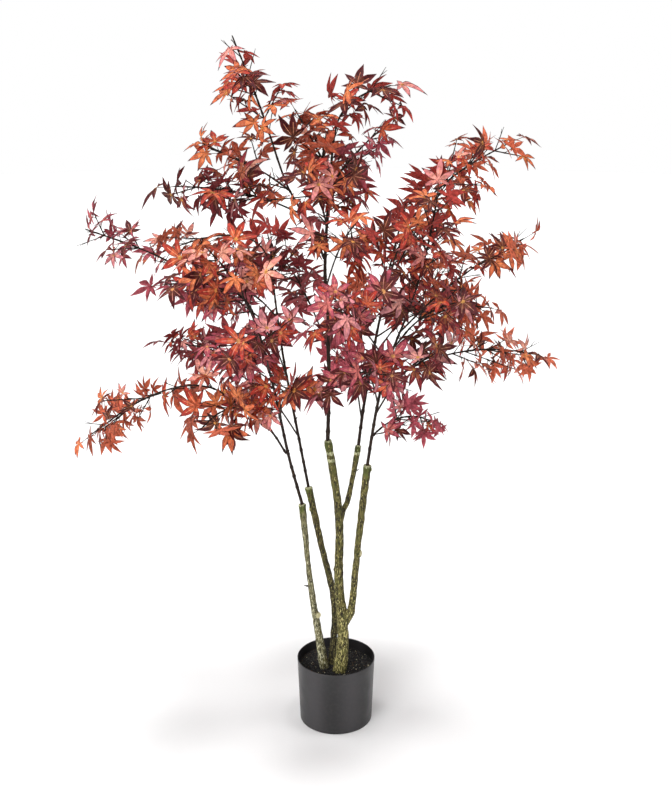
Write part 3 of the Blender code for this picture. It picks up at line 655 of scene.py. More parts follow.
class StageSettings(bpy.types.PropertyGroup):
    """Floor, lights and surround."""

    floor: length_setting("Floor size", "Radius of the floor", 9.0)
    key: number_setting("Key", "Strength of the light from the front left", 2.5)
    fill: number_setting("Fill", "Strength of the lights on both sides", 0.66)
    top: number_setting("Top", "Strength of the two lights overhead", 1.25)
    back: number_setting("Back", "Strength of the light from behind", 0.3)
    air: number_setting("Surround", "Brightness of the white surround", 0.06)


def smooth_path(way_points, count):
    """Points spaced along a smooth curve through the way points."""
    knots = [Vector(p) for p in way_points]
    knots = [knots[0] * 2 - knots[1]] + knots + [knots[-1] * 2 - knots[-2]]
    spans = len(knots) - 3
    path = []
    for step in range(count):
        place = step / (count - 1) * spans
        i = min(int(place), spans - 1)
        u = place - i
        a, b, c, d = knots[i : i + 4]
        square = (2 * a - 5 * b + 4 * c - d) * u**2
        cube = (3 * b - a - 3 * c + d) * u**3
        path.append(0.5 * (2 * b + (c - a) * u + square + cube))
    return path


def bend(start, middle, end, count):
    """Points along a curve that leaves start towards middle and arrives at end."""
    steps = [i / (count - 1) for i in range(count)]
    return [start * (1 - t) ** 2 + middle * 2 * t * (1 - t) + end * t**2 for t in steps]


def three_stage(radii, count):
    """The radii of a limb's points, from its radii at foot, middle and top."""
    foot, middle, top = radii
    run = []
    for i in range(count):
        t = i / (count - 1)
        run.append(foot + (middle - foot) * 2 * t if t < 0.5 else middle + (top - middle) * (2 * t - 1))
    return run


def tapered(foot, tip, count):
    """Radii that change evenly from a foot to a tip."""
    return [foot + (tip - foot) * i / (count - 1) for i in range(count)]


def path_length(path):
    """How long a path is."""
    return sum((b - a).length for a, b in zip(path, path[1:]))


def tangent(path, i):
    """The direction of a path at its point i."""
    return (path[min(i + 1, len(path) - 1)] - path[max(i - 1, 0)]).normalized()


def ring(centre, side, across, radius, count, start=0.0):
    """Points at even angles round a centre."""
    turns = [2 * math.pi * k / count + start for k in range(count)]
    return [centre + (side * math.cos(a) + across * math.sin(a)) * radius for a in turns]


def tube(path, radii, sides):
    """Points and faces of a closed tube along a path, with flat ends."""
    points = []
    first = tangent(path, 0)
    side = first.orthogonal() if abs(first.z) > 0.9 else UP
    for i, (centre, radius) in enumerate(zip(path, radii)):
        along = tangent(path, i)
        side = (side - along * side.dot(along)).normalized()
        points += ring(centre, side, along.cross(side), radius, sides)
    faces = [list(range(sides))[::-1], [len(points) - sides + k for k in range(sides)]]
    for i in range(len(path) - 1):
        for k in range(sides):
            a = i * sides + k
            b = i * sides + (k + 1) % sides
            faces.append([a, b, b + sides, a + sides])
    return points, faces


def at_height(path, radii, height):
    """The point, direction and radius of a limb where its axis crosses a height."""
    for i in range(len(path) - 1):
        low, high = path[i], path[i + 1]
        if low.z <= height <= high.z:
            t = (height - low.z) / (high.z - low.z)
            return low.lerp(high, t), (high - low).normalized(), radii[i] + (radii[i + 1] - radii[i]) * t
    raise ValueError(f"no point of the limb is at height {height}")


def side_start(limb, height, target, radius):
    """Where a stem that heads for the target starts, clear of the limb's surface."""
    centre, along, limb_radius = at_height(*limb, height)
    heading = (target - centre).normalized()
    cosine = abs(heading.dot(along))
    sine = math.sqrt(1 - cosine**2)
    return centre + heading * ((limb_radius + CLEARANCE + radius * cosine) / sine)


def tip_start(limb, target, radius):
    """Where a stem that heads for the target starts, clear of the limb's tip."""
    path = limb[0]
    along = tangent(path, len(path) - 1)
    heading = (target - path[-1]).normalized()
    cosine = heading.dot(along)
    sine = math.sqrt(max(0, 1 - cosine**2))
    return path[-1] + heading * ((CLEARANCE + radius * sine) / cosine)


def seat(path, radii, sides, limb, limb_sides):
    """Moves a path's first point so that the tube on it starts just clear of the limb it leaves."""
    surface = BVHTree.FromPolygons(*tube(*limb, limb_sides))
    for _ in range(SEAT_STEPS):
        rings = tube(path, radii, sides)[0][: 2 * sides]
        probes = [a.lerp(b, t) for a in rings for b in rings for t in (0.25, 0.5, 1.0)]
        gap = min(surface.find_nearest(probe)[3] for probe in probes)
        path[0] = path[0] + (path[0] - path[1]).normalized() * (gap - CLEARANCE - SEAT_SPARE)


def grow_trunks():
    """Path and radii of every bark-covered stem, with its root flare and its collar."""
    limbs = {}
    for name, (parent, way_points, radii) in TRUNKS.items():
        path = smooth_path(way_points, TRUNK_POINTS)
        if parent:
            start = side_start(limbs[parent], path[0].z, path[1], radii[0])
            path = smooth_path((start,) + way_points[1:], TRUNK_POINTS)
        run = three_stage(radii, TRUNK_POINTS)
        if parent:
            seat(path, run, TRUNK_SIDES, limbs[parent], TRUNK_SIDES)
        else:
            run[0] *= ROOT_FLARE[0]
            run[1] *= ROOT_FLARE[1]
        run[-1] *= COLLAR_FLARE[0]
        run[-2] *= COLLAR_FLARE[1]
        limbs[name] = (path, run)
    return limbs


def grow_limb(limbs, name, parent, start, way_points, radii):
    """Adds the path and radii of one leader or bough to the limbs."""
    path = smooth_path((start,) + way_points, LEADER_POINTS)
    run = three_stage(radii, LEADER_POINTS)
    parent_sides = TRUNK_SIDES if parent in TRUNKS else LEADER_SIDES
    seat(path, run, LEADER_SIDES, limbs[parent], parent_sides)
    limbs[name] = (path, run)


def grow_leaders(limbs):
    """Adds the path and radii of every leader and bough to the limbs."""
    for name, (parent, way_points, radii) in LEADERS.items():
        target = Vector(way_points[0])
        start = tip_start(limbs[parent], target, radii[0])
        grow_limb(limbs, name, parent, start, way_points, radii)
    for name, (parent, height, way_points, radii) in BOUGHS.items():
        start = side_start(limbs[parent], height, Vector(way_points[0]), radii[0])
        grow_limb(limbs, name, parent, start, way_points, radii)


def grow_stem(limbs, row, bare):
    """The path of a spray's stem, from its limb to its tip."""
    parent, height, bearing, reach, tip_height, arch = row[:6]
    angle = math.radians(bearing)
    tip = Vector((reach * math.cos(angle), reach * math.sin(angle), tip_height))
    if not bare:
        tip -= (tip - limbs[parent][0][-1]).normalized() * TIP_LEAF_REACH
    if height is None:
        along = tangent(limbs[parent][0], len(limbs[parent][0]) - 1)
        foot = limbs[parent][0][-1]
        middle = foot + along * (tip - foot).length * TIP_RUN_ON + UP * arch
        start = tip_start(limbs[parent], middle, STEM_RADIUS[0])
    else:
        foot = at_height(*limbs[parent], height)[0]
        middle = foot.lerp(tip, SIDE_MIDDLE) + UP * arch
        start = side_start(limbs[parent], height, middle, STEM_RADIUS[0])
    path = bend(start, middle, tip, STEM_POINTS)
    seat(path, tapered(*STEM_RADIUS, STEM_POINTS), STEM_SIDES, limbs[parent], LEADER_SIDES)
    return path


def along_path(path, distance_from_tip):
    """The point and direction of a path at a distance from its tip."""
    left = distance_from_tip
    for i in range(len(path) - 1, 0, -1):
        step = (path[i] - path[i - 1]).length
        if left <= step:
            return path[i].lerp(path[i - 1], left / step), (path[i] - path[i - 1]).normalized()
        left -= step
    return path[0], (path[1] - path[0]).normalized()


def random_direction(rng):
    """A direction with no preference."""
    z = rng.uniform(-1, 1)
    angle = rng.uniform(0, 2 * math.pi)
    flat = math.sqrt(1 - z * z)
    return Vector((flat * math.cos(angle), flat * math.sin(angle), z))


def turned(direction, aside, degrees):
    """A direction turned by an angle towards another one that is square to it."""
    angle = math.radians(degrees)
    return (direction * math.cos(angle) + aside * math.sin(angle)).normalized()


class Leaf:
    """One leaf on its stalk: a star of five lobes, thickest in the middle."""

    def __init__(self, rng, root, heading, stalk, foot_radius, length):
        self.root = root
        self.heading = heading
        self.foot_radius = foot_radius
        self.length = length
        self.centre = root + heading * stalk
        away = (self.centre - CROWN_HEART).normalized()
        facing = UP * FACING[0] + away * FACING[1] + random_direction(rng) * FACING[2]
        rise = min(max(facing.normalized().dot(heading), LEAN[0]), LEAN[1])
        aside = (facing - heading * facing.dot(heading)).normalized()
        fall = math.sqrt(1 - rise * rise)
        self.normal = aside * fall + heading * rise
        self.forward = heading * fall - aside * rise
        self.lobes = [rng.uniform(*LOBE_SCALE) for _ in LOBES]
        self.curl = [rng.uniform(*LOBE_CURL) for _ in LOBES]

    def place(self, angle, share, drop):
        """A point of the blade from its angle, its share of the length and its drop."""
        across = self.normal.cross(self.forward)
        flat = self.forward * math.cos(angle) + across * math.sin(angle)
        return self.centre + (flat * share - self.normal * drop) * self.length

    def outline(self, scale=1.0):
        """The tips and notches round the blade."""
        edge = []
        for k, (degrees, share) in enumerate(LOBES):
            reach = share * self.lobes[k] * scale
            edge.append(self.place(math.radians(degrees), reach, LOBE_DROOP * share**2 + self.curl[k]))
            if k < len(LOBES) - 1:
                between = (degrees + LOBES[k + 1][0]) / 2
                edge.append(self.place(math.radians(between), NOTCH * scale, NOTCH_DROOP))
        return edge

    def solid(self):
        """Points and faces of the blade and its stalk as one closed body."""
        edge = self.outline()
        count = len(edge)
        under = self.centre - self.normal * (LEAF_HALF_THICKNESS + UNDER_LEAF)
        side = (self.normal - self.heading * self.normal.dot(self.heading)).normalized()
        across = self.heading.cross(side)
        ends = ring(under, side, across, STALK_TOP_RADIUS, 3, math.pi)
        ends += ring(self.root, side, across, self.foot_radius, 3, math.pi)
        points = edge + [self.centre + self.normal * LEAF_HALF_THICKNESS] + ends
        top, under_first, root_first = count, count + 1, count + 4
        faces = [[i, (i + 1) % count, top] for i in range(count)]
        middles = [(edge[i] + edge[(i + 1) % count]) / 2 for i in range(count)]
        near = [self.nearest(m, ends[:3]) for m in middles]
        for i in range(count):
            faces.append([(i + 1) % count, i, under_first + near[i]])
            if near[i] != near[i - 1]:
                faces.append([i, under_first + near[i - 1], under_first + near[i]])
        turn = [k for i, k in enumerate(near) if k != near[i - 1]]
        for a, b in zip(turn, turn[1:] + turn[:1]):
            faces.append([under_first + a, root_first + a, root_first + b, under_first + b])
        faces.append([root_first + k for k in reversed(turn)])
        return points, faces

    def bearing(self, point):
        """The direction of a point from the blade's middle, in the blade's plane."""
        way = point - self.centre
        flat = Vector((way.dot(self.forward), way.dot(self.normal.cross(self.forward))))
        return flat.normalized()

    def nearest(self, point, corners):
        """Which of the stalk's corners lies nearest in bearing to a point of the outline."""
        way = self.bearing(point)
        return max(range(3), key=lambda k: way.dot(self.bearing(corners[k])))

    def guard(self):
        """The blade swollen by the margin kept round it, as a search tree."""
        edge = self.outline(GUARD_SCALE)
        count = len(edge)
        swell = LEAF_HALF_THICKNESS + LEAF_MARGIN
        points = edge + [self.centre + self.normal * swell, self.centre - self.normal * swell]
        faces = [[i, (i + 1) % count, count] for i in range(count)]
        faces += [[(i + 1) % count, i, count + 1] for i in range(count)]
        return BVHTree.FromPolygons(points, faces)

    def stalk_guard(self):
        """The stalk swollen by half the margin, short of its two ends, as a search tree."""
        path = [self.root + self.heading * GUARD_FOOT, self.centre - self.heading * GUARD_TOP]
        return BVHTree.FromPolygons(*tube(path, [self.foot_radius + LEAF_MARGIN / 2] * 2, STEM_SIDES))

    def stalk(self):
        """Points and faces of the stalk alone."""
        return tube([self.root, self.centre], [self.foot_radius, STALK_TOP_RADIUS], 3)


class Crown:
    """Every piece grown so far, so that a new one can keep clear of them."""

    def __init__(self):
        self.pieces = []

    def add(self, shape, spray, kind):
        """Notes a piece by its points and faces."""
        points, faces = shape
        middle = sum(points, Vector()) / len(points)
        reach = max((p - middle).length for p in points)
        self.pieces.append((middle, reach, BVHTree.FromPolygons(points, faces), spray, kind))

    def add_leaf(self, leaf, spray):
        """Notes a leaf's blade and its stalk."""
        self.add(leaf.solid(), spray, "blade")
        self.add(leaf.stalk(), spray, "wood")

    def is_free(self, middle, reach, guard, spray, own_kinds):
        """Whether a new piece touches nothing but the named kinds of its own spray."""
        for other_middle, other_reach, other_surface, other_spray, kind in self.pieces:
            if other_spray == spray and kind in own_kinds:
                continue
            if (other_middle - middle).length < other_reach + reach and guard.overlap(other_surface):
                return False
        return True


class Spray:
    """One mass of the crown: its stem, its side shoots and its leaves."""

    def __init__(self, name, path, pairs, size, seeds, tint):
        self.name = "spray_" + name
        self.bare = name in BARE_TIPS
        self.is_open = name in OPEN_SPRAYS
        self.steps_back = STEPS_BACK.get(name, 0)
        self.tint = tint
        self.pairs = pairs
        self.size = size
        shoot_seed, self.leaf_seed = seeds
        self.rng = random.Random(shoot_seed)
        self.stem = path
        self.shoots = []
        self.leaves = []

    def frame(self, along, turn):
        """A direction square to a stem, turned about it from level by an angle in degrees."""
        level = along.cross(UP).normalized()
        return turned(level, along.cross(level).normalized(), turn)

    def add_leaf(self, crown, root, heading, stalk, foot_radius, size):
        """Grows one leaf that keeps clear of the rest, or none."""
        for attempt in range(TRIES):
            spread = ASTRAY + ASTRAY_MORE * attempt
            way = (heading + random_direction(self.rng) * spread).normalized()
            length = self.rng.uniform(*LEAF_LENGTH) * size * self.size * (1 - SMALLER * attempt)
            reach = self.rng.uniform(*stalk) * (1 - SMALLER * attempt)
            leaf = Leaf(self.rng, root, way, reach, foot_radius, length)
            if max(p.z for p in leaf.outline()) > TREE_HEIGHT - ROOM_AT_TOP:
                continue
            if not crown.is_free(leaf.centre, length * GUARD_REACH, leaf.guard(), self.name, ()):
                continue
            middle = root.lerp(leaf.centre, 0.5)
            if not crown.is_free(middle, reach, leaf.stalk_guard(), self.name, ("wood",)):
                continue
            self.leaves.append(leaf)
            crown.add_leaf(leaf, self.name)
            return leaf
        return None

    def grow_shoots(self, crown):
        """Grows the side shoots in opposite pairs, each one ending in a leaf."""
        for k in range(self.pairs):
            root, along = along_path(self.stem, FIRST_SHOOT_FROM_TIP + NODE_SPACING * k)
            aside = self.frame(along, self.rng.uniform(-SHOOT_STRAY, SHOOT_STRAY) + SHOOT_TWIST * k)
            for side in (aside, -aside):
                heading = turned(along, side, SHOOT_ANGLE)
                shoot = self.add_leaf(crown, root, heading, SHOOT_LENGTH, SHOOT_RADIUS, 1.0)
                if shoot:
                    self.shoots.append(shoot)

    def grow_leaves(self, crown):
        """Grows a leaf on each side shoot, then pairs along the stem and one at its tip."""
        self.rng = random.Random(self.leaf_seed)
        for shoot in self.shoots:
            aside = self.frame(shoot.heading, self.rng.uniform(-SIDE_LEAF_STRAY, SIDE_LEAF_STRAY))
            if self.rng.random() < 0.5:
                aside = -aside
            heading = turned(shoot.heading, aside, SIDE_LEAF_ANGLE)
            root = shoot.root.lerp(shoot.centre, SIDE_LEAF_PLACE)
            self.add_leaf(crown, root, heading, STALK_LENGTH, STALK_FOOT_RADIUS, SIDE_LEAF_SIZE)
        for k in range(2):
            root, along = along_path(self.stem, FIRST_PAIR_FROM_TIP + NODE_SPACING * k)
            aside = self.frame(along, self.rng.uniform(-PAIR_STRAY, PAIR_STRAY) + PAIR_TWIST * k)
            for side in (aside, -aside):
                heading = turned(along, side, PAIR_ANGLE)
                self.add_leaf(crown, root, heading, STALK_LENGTH, STALK_FOOT_RADIUS, PAIR_SIZE)
        if not self.bare:
            along = tangent(self.stem, len(self.stem) - 1)
            root = self.stem[-1] - along * TIP_LEAF_SINK
            self.add_leaf(crown, root, along, STALK_LENGTH, STALK_FOOT_RADIUS, PAIR_SIZE)


def bare_crown(limbs, sprays):
    """A crown with all its wood and no leaves, so that leaves keep clear of every limb and stem."""
    crown = Crown()
    for name, (path, radii) in limbs.items():
        for i in range(len(path) - 1):
            crown.add(tube(path[i : i + 2], radii[i : i + 2], LIMB_GUARD_SIDES), name, "limb")
    for spray in sprays:
        for i in range(len(spray.stem) - 1):
            crown.add(tube(spray.stem[i : i + 2], [STEM_RADIUS[0]] * 2, STEM_SIDES), spray.name, "wood")
    return crown


def grow_sprays(limbs):
    """All the sprays as the solids have them."""
    sprays = []
    for name, row in SPRAYS.items():
        sprays.append(Spray(name, grow_stem(limbs, row, name in BARE_TIPS), *row[6:]))
    crown = bare_crown(limbs, sprays)
    for spray in sprays:
        spray.grow_shoots(crown)
    for spray in sprays:
        spray.grow_leaves(crown)
    return sprays


def trimmed(limbs, sprays):
    """Cuts every leaf grown so far to its real size, and notes anew what the crown takes up."""
    crown = bare_crown(limbs, sprays)
    for spray in sprays:
        for leaf in spray.leaves:
            leaf.length *= BLADE_SCALE
            crown.add_leaf(leaf, spray.name)
    return crown


def add_fine_leaf(spray, crown, root, along, size=FINE_LEAF_SIZE):
    """Adds a small leaf beside a twig."""
    aside = spray.frame(along, spray.rng.uniform(-180, 180))
    heading = turned(along, aside, FINE_ANGLE)
    spray.add_leaf(crown, root, heading, FINE_STALK_LENGTH, STALK_FOOT_RADIUS, size)


def grow_fine(spray, crown):
    """Carries a spray on to finer twigs: more and smaller leaves, and a few bare twigs."""
    spray.rng = random.Random(spray.leaf_seed + FINE_SEED)
    spray.fine_shoots = []
    spray.bare_twigs = []
    for shoot in spray.shoots:
        for share in FINE_ON_SHOOT:
            add_fine_leaf(spray, crown, shoot.root.lerp(shoot.centre, share), shoot.heading)
    for k in range(FINE_STEPS + spray.steps_back):
        size = FINE_LEAF_SIZE if k < FINE_STEPS else BACK_LEAF_SIZE
        root, along = along_path(spray.stem, FINE_FROM_TIP + FINE_STEP * k)
        aside = spray.frame(along, spray.rng.uniform(-180, 180))
        twig = root + turned(along, -aside, FINE_ANGLE) * spray.rng.uniform(*BARE_TWIG_LENGTH)
        twig.z = min(twig.z, TREE_HEIGHT - ROOM_OVER_TWIG)
        spray.bare_twigs.append((root, twig))
        if spray.is_open and k % OPEN_EVERY and k < FINE_STEPS:
            continue
        heading = turned(along, aside, FINE_ANGLE)
        fine = spray.add_leaf(crown, root, heading, FINE_SHOOT_LENGTH, FINE_SHOOT_RADIUS, size)
        if fine:
            spray.fine_shoots.append(fine)
            for share in FINE_ON_TWIG:
                add_fine_leaf(spray, crown, root.lerp(fine.centre, share), fine.heading, size)


@functools.cache
def grown_tree():
    """The limbs, as paths with radii, and the sprays that grow on them."""
    limbs = grow_trunks()
    grow_leaders(limbs)
    sprays = grow_sprays(limbs)
    crown = trimmed(limbs, sprays)
    for spray in sprays:
        grow_fine(spray, crown)
    return limbs, sprays


class Shape:
    """Points, faces and the finish of each face, gathered until they become one mesh."""

    def __init__(self):
        self.points = []
        self.faces = []
        self.finishes = []

    def add(self, points, faces, finish=0):
        """Adds points and faces, with one finish for all or a list of one for each face."""
        first = len(self.points)
        self.points.extend(points)
        self.faces.extend([first + i for i in face] for face in faces)
        self.finishes.extend(finish if isinstance(finish, list) else [finish] * len(faces))

    def build(self, name, materials):
        """The gathered mesh as a smooth object with these materials."""
        mesh = bpy.data.meshes.new(name)
        mesh.from_pydata([tuple(p) for p in self.points], [], self.faces)
        for made in materials:
            mesh.materials.append(made)
        mesh.polygons.foreach_set("material_index", self.finishes)
        mesh.shade_smooth()
        piece = bpy.data.objects.new(name, mesh)
        bpy.context.scene.collection.objects.link(piece)
        return piece


def dress(piece, nodes):
    """Lets a piece ride with the tree and stand for these nodes, which it hides."""
    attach(piece, "root")
    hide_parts(*nodes)


def connect(tree, node, sockets):
    """Sets a node's sockets to values, or links them to the outputs of others."""
    for name, value in sockets.items():
        socket = node.inputs[name]
        if isinstance(value, bpy.types.NodeSocket):
            tree.links.new(value, socket)
        elif socket.type == "RGBA":
            socket.default_value = (*value, 1.0)
        else:
            socket.default_value = value


def add_node(tree, kind, settings, sockets):
    """Adds a shader node with its settings and links, and returns its outputs."""
    node = tree.nodes.new("ShaderNode" + kind)
    for name, value in settings.items():
        setattr(node, name, value)
    connect(tree, node, sockets)
    return node.outputs


def start_material(name, colour, roughness, ior):
    """A Principled material with its plain values, its node tree, its shader, and the output that
    gives a point's place on the object."""
    made = bpy.data.materials.new(name)
    made.use_nodes = True
    made.diffuse_color = (*colour, 1.0)
    tree = made.node_tree
    shader = tree.nodes["Principled BSDF"]
    connect(tree, shader, {"Base Color": colour, "Roughness": roughness, "IOR": ior})
    return made, tree, shader, add_node(tree, "TexCoord", {}, {})["Object"]


def per_metre(millimetres):
    """The scale of a pattern that repeats at this distance."""
    return 1000 / millimetres


def shaded(colour, brightness):
    """A colour made darker or brighter, without leaving its range."""
    return tuple(min(max(c * brightness, 0.0), 0.9) for c in colour)


def mixed(first, second, share):
    """A colour between two others."""
    return tuple(a + (b - a) * share for a, b in zip(first, second))


def layer(tree, place, millimetres, detail, levels, under, over, most=1.0, roughness=0.5):
    """Lays a colour over another where a cloudy pattern rises between two levels, and returns the
    result with the pattern."""
    pattern = add_node(
        tree, "TexNoise", {},
        {"Vector": place, "Scale": per_metre(millimetres), "Detail": detail, "Roughness": roughness},
    )[0]
    low, high = levels
    span = {0: pattern, "From Min": low, "From Max": high, "To Max": most}
    share = add_node(tree, "MapRange", {}, span)[0]
    return add_node(tree, "Mix", OF_COLOURS, {0: share, 6: under, 7: over})[2], pattern


def moulded_polypropylene(colour):
    """Injection moulded polypropylene, the satin black of nursery pots: even and slightly waxy,
    with soft upright bands of painted sheen, standing for reflected studio lights, and a trace of
    dust. The mould's grain is finer than shows, and is drawn 0.9 mm apart."""
    made, tree, shader, place = start_material("moulded_polypropylene", colour, 0.38, 1.49)
    x, y, _ = add_node(tree, "SeparateXYZ", {}, {"Vector": place})
    # Painted sheen: the plastic turns lighter and darker in bands by its bearing round the pot
    bearing = add_node(tree, "Math", {"operation": "ARCTAN2"}, {0: x, 1: y})[0]
    turn = PAINTED_SHEEN_BANDS * math.radians(PAINTED_SHEEN_TURN)
    phase = add_node(tree, "Math", {"operation": "MULTIPLY_ADD"}, {0: bearing, 1: PAINTED_SHEEN_BANDS, 2: turn})[0]
    wave = add_node(tree, "Math", {"operation": "COSINE"}, {0: phase})[0]
    sheen_share = add_node(tree, "MapRange", {}, {0: wave, "From Min": -1.0})[0]
    # Lit and shaded copies of the plastic, between which the painted sheen bands run
    low, high = shaded(colour, 0.46), shaded(colour, 1.58)
    bands = add_node(tree, "Mix", OF_COLOURS, {0: sheen_share, 6: low, 7: high})[2]
    dusty = mixed(colour, linear("77736E"), 0.28)
    tint, _ = layer(tree, place, 6, 5.0, (0.45, 0.8), bands, dusty, most=0.16)
    clouds = add_node(tree, "TexNoise", {}, {"Vector": place, "Scale": per_metre(28), "Detail": 2.0})[0]
    gloss = add_node(
        tree, "MapRange", {},
        {0: clouds, "From Min": 0.3, "From Max": 0.7, "To Min": 0.33, "To Max": 0.45},
    )[0]
    grain = add_node(tree, "TexNoise", {}, {"Vector": place, "Scale": per_metre(0.9), "Detail": 2.0})[0]
    bump = add_node(tree, "Bump", {}, {"Height": grain, "Strength": 0.25, "Distance": 0.00008})[0]
    connect(tree, shader, {"Base Color": tint, "Roughness": gloss, "Normal": bump})
    return made


def lava_grit(name, colour):
    """Crushed lava and bark dyed black: dull and porous, each grain a little lighter on its chips."""
    made, tree, shader, place = start_material(name, colour, 0.88, 1.5)
    low, high = shaded(colour, 0.55), shaded(colour, 1.8)
    tint, pores = layer(tree, place, 0.9, 3.0, (0.35, 0.75), low, high)
    bump = add_node(tree, "Bump", {}, {"Height": pores, "Strength": 0.6, "Distance": 0.0004})[0]
    connect(tree, shader, {"Base Color": tint, "Normal": bump})
    return made


def painted_bark(name, wood, shade, fleck, fleck_share, green, foot=1.0):
    """Real stems under a coat of flock and paint, stippled by hand: a dry khaki crust with dark
    furrows along the stem, green bloom in patches, and cream flecks 1.5 mm across that thin out
    up the stem. Near the ground painted shade darkens the coat to the brightness `foot`."""
    made, tree, shader, place = start_material(name, wood, 0.86, 1.45)
    along = add_node(tree, "Mapping", {}, {"Vector": place, "Scale": (1.0, 1.0, 0.26)})[0]
    coat, _ = layer(tree, along, 2.9, 5.0, (0.43, 0.58), shade, wood, roughness=0.66)
    mossy, bloom = layer(tree, place, 13, 3.0, (0.50, 0.68), coat, green, most=0.55)
    stipple = add_node(tree, "TexNoise", {}, {"Vector": along, "Scale": per_metre(1.5), "Detail": 2.0})[0]
    height = add_node(tree, "SeparateXYZ", {}, {"Vector": place})["Z"]
    low, high = FLECKS_THIN_OUT
    thin = {0: height, "From Min": low, "From Max": high, "To Max": 0.09}
    thinning = add_node(tree, "MapRange", {}, thin)[0]
    patches = {0: bloom, "From Min": 0.35, "From Max": 0.65, "To Max": 0.05}
    patchy = add_node(tree, "MapRange", {}, patches)[0]
    sparse = add_node(tree, "Math", {"operation": "ADD"}, {0: thinning, 1: patchy})[0]
    kept = add_node(tree, "Math", {"operation": "SUBTRACT"}, {0: stipple, 1: sparse})[0]
    edge = {0: kept, "From Min": fleck_share, "From Max": fleck_share + 0.05}
    dots = add_node(tree, "MapRange", {}, edge)[0]
    flecked = add_node(tree, "Mix", OF_COLOURS, {0: dots, 6: mossy, 7: fleck})[2]
    # Painted shade: the coat is darker near the ground, down to the brightness foot, and keeps its own
    # brightness higher up
    low, high = PAINTED_FOOT_SHADE_HEIGHTS
    foot_shade_span = {0: height, "From Min": low, "From Max": high, "To Min": foot}
    painted_foot_shade = add_node(tree, "MapRange", {}, foot_shade_span)[0]
    toned = add_node(tree, "HueSaturation", {}, {"Value": painted_foot_shade, "Color": flecked})[0]
    crust = add_node(tree, "TexNoise", {}, {"Vector": place, "Scale": per_metre(1.4), "Detail": 3.0})[0]
    bump = add_node(tree, "Bump", {}, {"Height": crust, "Strength": 0.7, "Distance": 0.0006})[0]
    connect(tree, shader, {"Base Color": toned, "Normal": bump})
    return made


def coated_branch(name, bark, edge):
    """Polyethylene moulded over wire, dark brown with an olive rub: low gloss, fine length grain."""
    made, tree, shader, place = start_material(name, bark, 0.56, 1.51)
    along = add_node(tree, "Mapping", {}, {"Vector": place, "Scale": (1.0, 1.0, 0.4)})[0]
    tint, rub = layer(tree, along, 5.0, 4.0, (0.52, 0.70), bark, edge, most=0.75)
    bump = add_node(tree, "Bump", {}, {"Height": rub, "Strength": 0.5, "Distance": 0.0005})[0]
    connect(tree, shader, {"Base Color": tint, "Specular IOR Level": 0.18, "Normal": bump})
    return made


def sawn_wood(name, colour):
    """Pale wood, sawn across: dry, with growth rings a millimetre apart."""
    made, tree, shader, place = start_material(name, colour, 0.80, 1.45)
    rings = add_node(tree, "TexNoise", {}, {"Vector": place, "Scale": per_metre(1.2), "Detail": 3.0})[0]
    low, high = shaded(colour, 0.45), shaded(colour, 1.25)
    tint = add_node(tree, "Mix", OF_COLOURS, {0: rings, 6: low, 7: high})[2]
    connect(tree, shader, {"Base Color": tint})
    return made


def printed_polyester(name, colour):
    """Polyester cloth, woven, printed and pressed hot into its folds: matt, with a faint sheen at
    its edges and a mottled print. The weave's 0.3 mm threads are drawn 1 mm apart to show."""
    made, tree, shader, place = start_material(name, colour, 0.58, 1.5)
    low, high = shaded(colour, 0.66), shaded(colour, 1.40)
    tint, _ = layer(tree, place, 5.0, 3.0, (0.36, 0.64), low, high)
    weave = add_node(tree, "TexNoise", {}, {"Vector": place, "Scale": per_metre(1.0), "Detail": 1.0})[0]
    bump = add_node(tree, "Bump", {}, {"Height": weave, "Strength": 0.35, "Distance": 0.0003})[0]
    sheen = {"Specular IOR Level": 0.20, "Sheen Weight": 0.05, "Sheen Roughness": 0.45}
    connect(tree, shader, {"Base Color": tint, "Normal": bump, **sheen})
    return made


def seamless_paper():
    """The white paper of a studio floor: matt and even, with the least unevenness in its coat."""
    made, tree, shader, place = start_material("seamless_paper", linear("F8F8F8"), 0.95, 1.45)
    coat = add_node(tree, "TexNoise", {}, {"Vector": place, "Scale": per_metre(400), "Detail": 2.0})[0]
    low, high = linear("F7F7F7"), linear("F9F9F9")
    tint = add_node(tree, "Mix", OF_COLOURS, {0: coat, 6: low, 7: high})[2]
    connect(tree, shader, {"Base Color": tint, "Specular IOR Level": 0.1})
    return made


def arc(centre, radius, start, end, steps):
    """Points on an arc as (radius, height) pairs, its angles in degrees from outwards to upwards."""
    turns = [math.radians(start + (end - start) * i / steps) for i in range(steps + 1)]
    return [(centre[0] + radius * math.cos(a), centre[1] + radius * math.sin(a)) for a in turns]


def turned_form(profile, segments):
    """Points and faces of a closed form turned about Z, its profile starting and ending on it."""
    points = [Vector((0, 0, profile[0][1]))]
    for radius, z in profile[1:-1]:
        for k in range(segments):
            angle = 2 * math.pi * k / segments
            points.append(Vector((radius * math.cos(angle), radius * math.sin(angle), z)))
    points.append(Vector((0, 0, profile[-1][1])))
    last = len(points) - 1
    faces = []
    for k in range(segments):
        n = (k + 1) % segments
        faces.append([0, 1 + n, 1 + k])
        faces.append([last, last - segments + k, last - segments + n])
        for row in range(len(profile) - 3):
            a = 1 + row * segments
            b = a + segments
            faces.append([a + k, a + n, b + n, b + k])
    return points, faces


def wall_radius(z):
    """The pot's outer radius at a height."""
    return POT_BASE_RADIUS + (POT_RIM_RADIUS - POT_BASE_RADIUS) * z / POT_HEIGHT


def steps_between(low, high, count, inset):
    """Places up the pot's wall, moved in from its outside by the inset."""
    heights = [low + (high - low) * i / count for i in range(1, count)]
    return [(wall_radius(z) - inset, z) for z in heights]


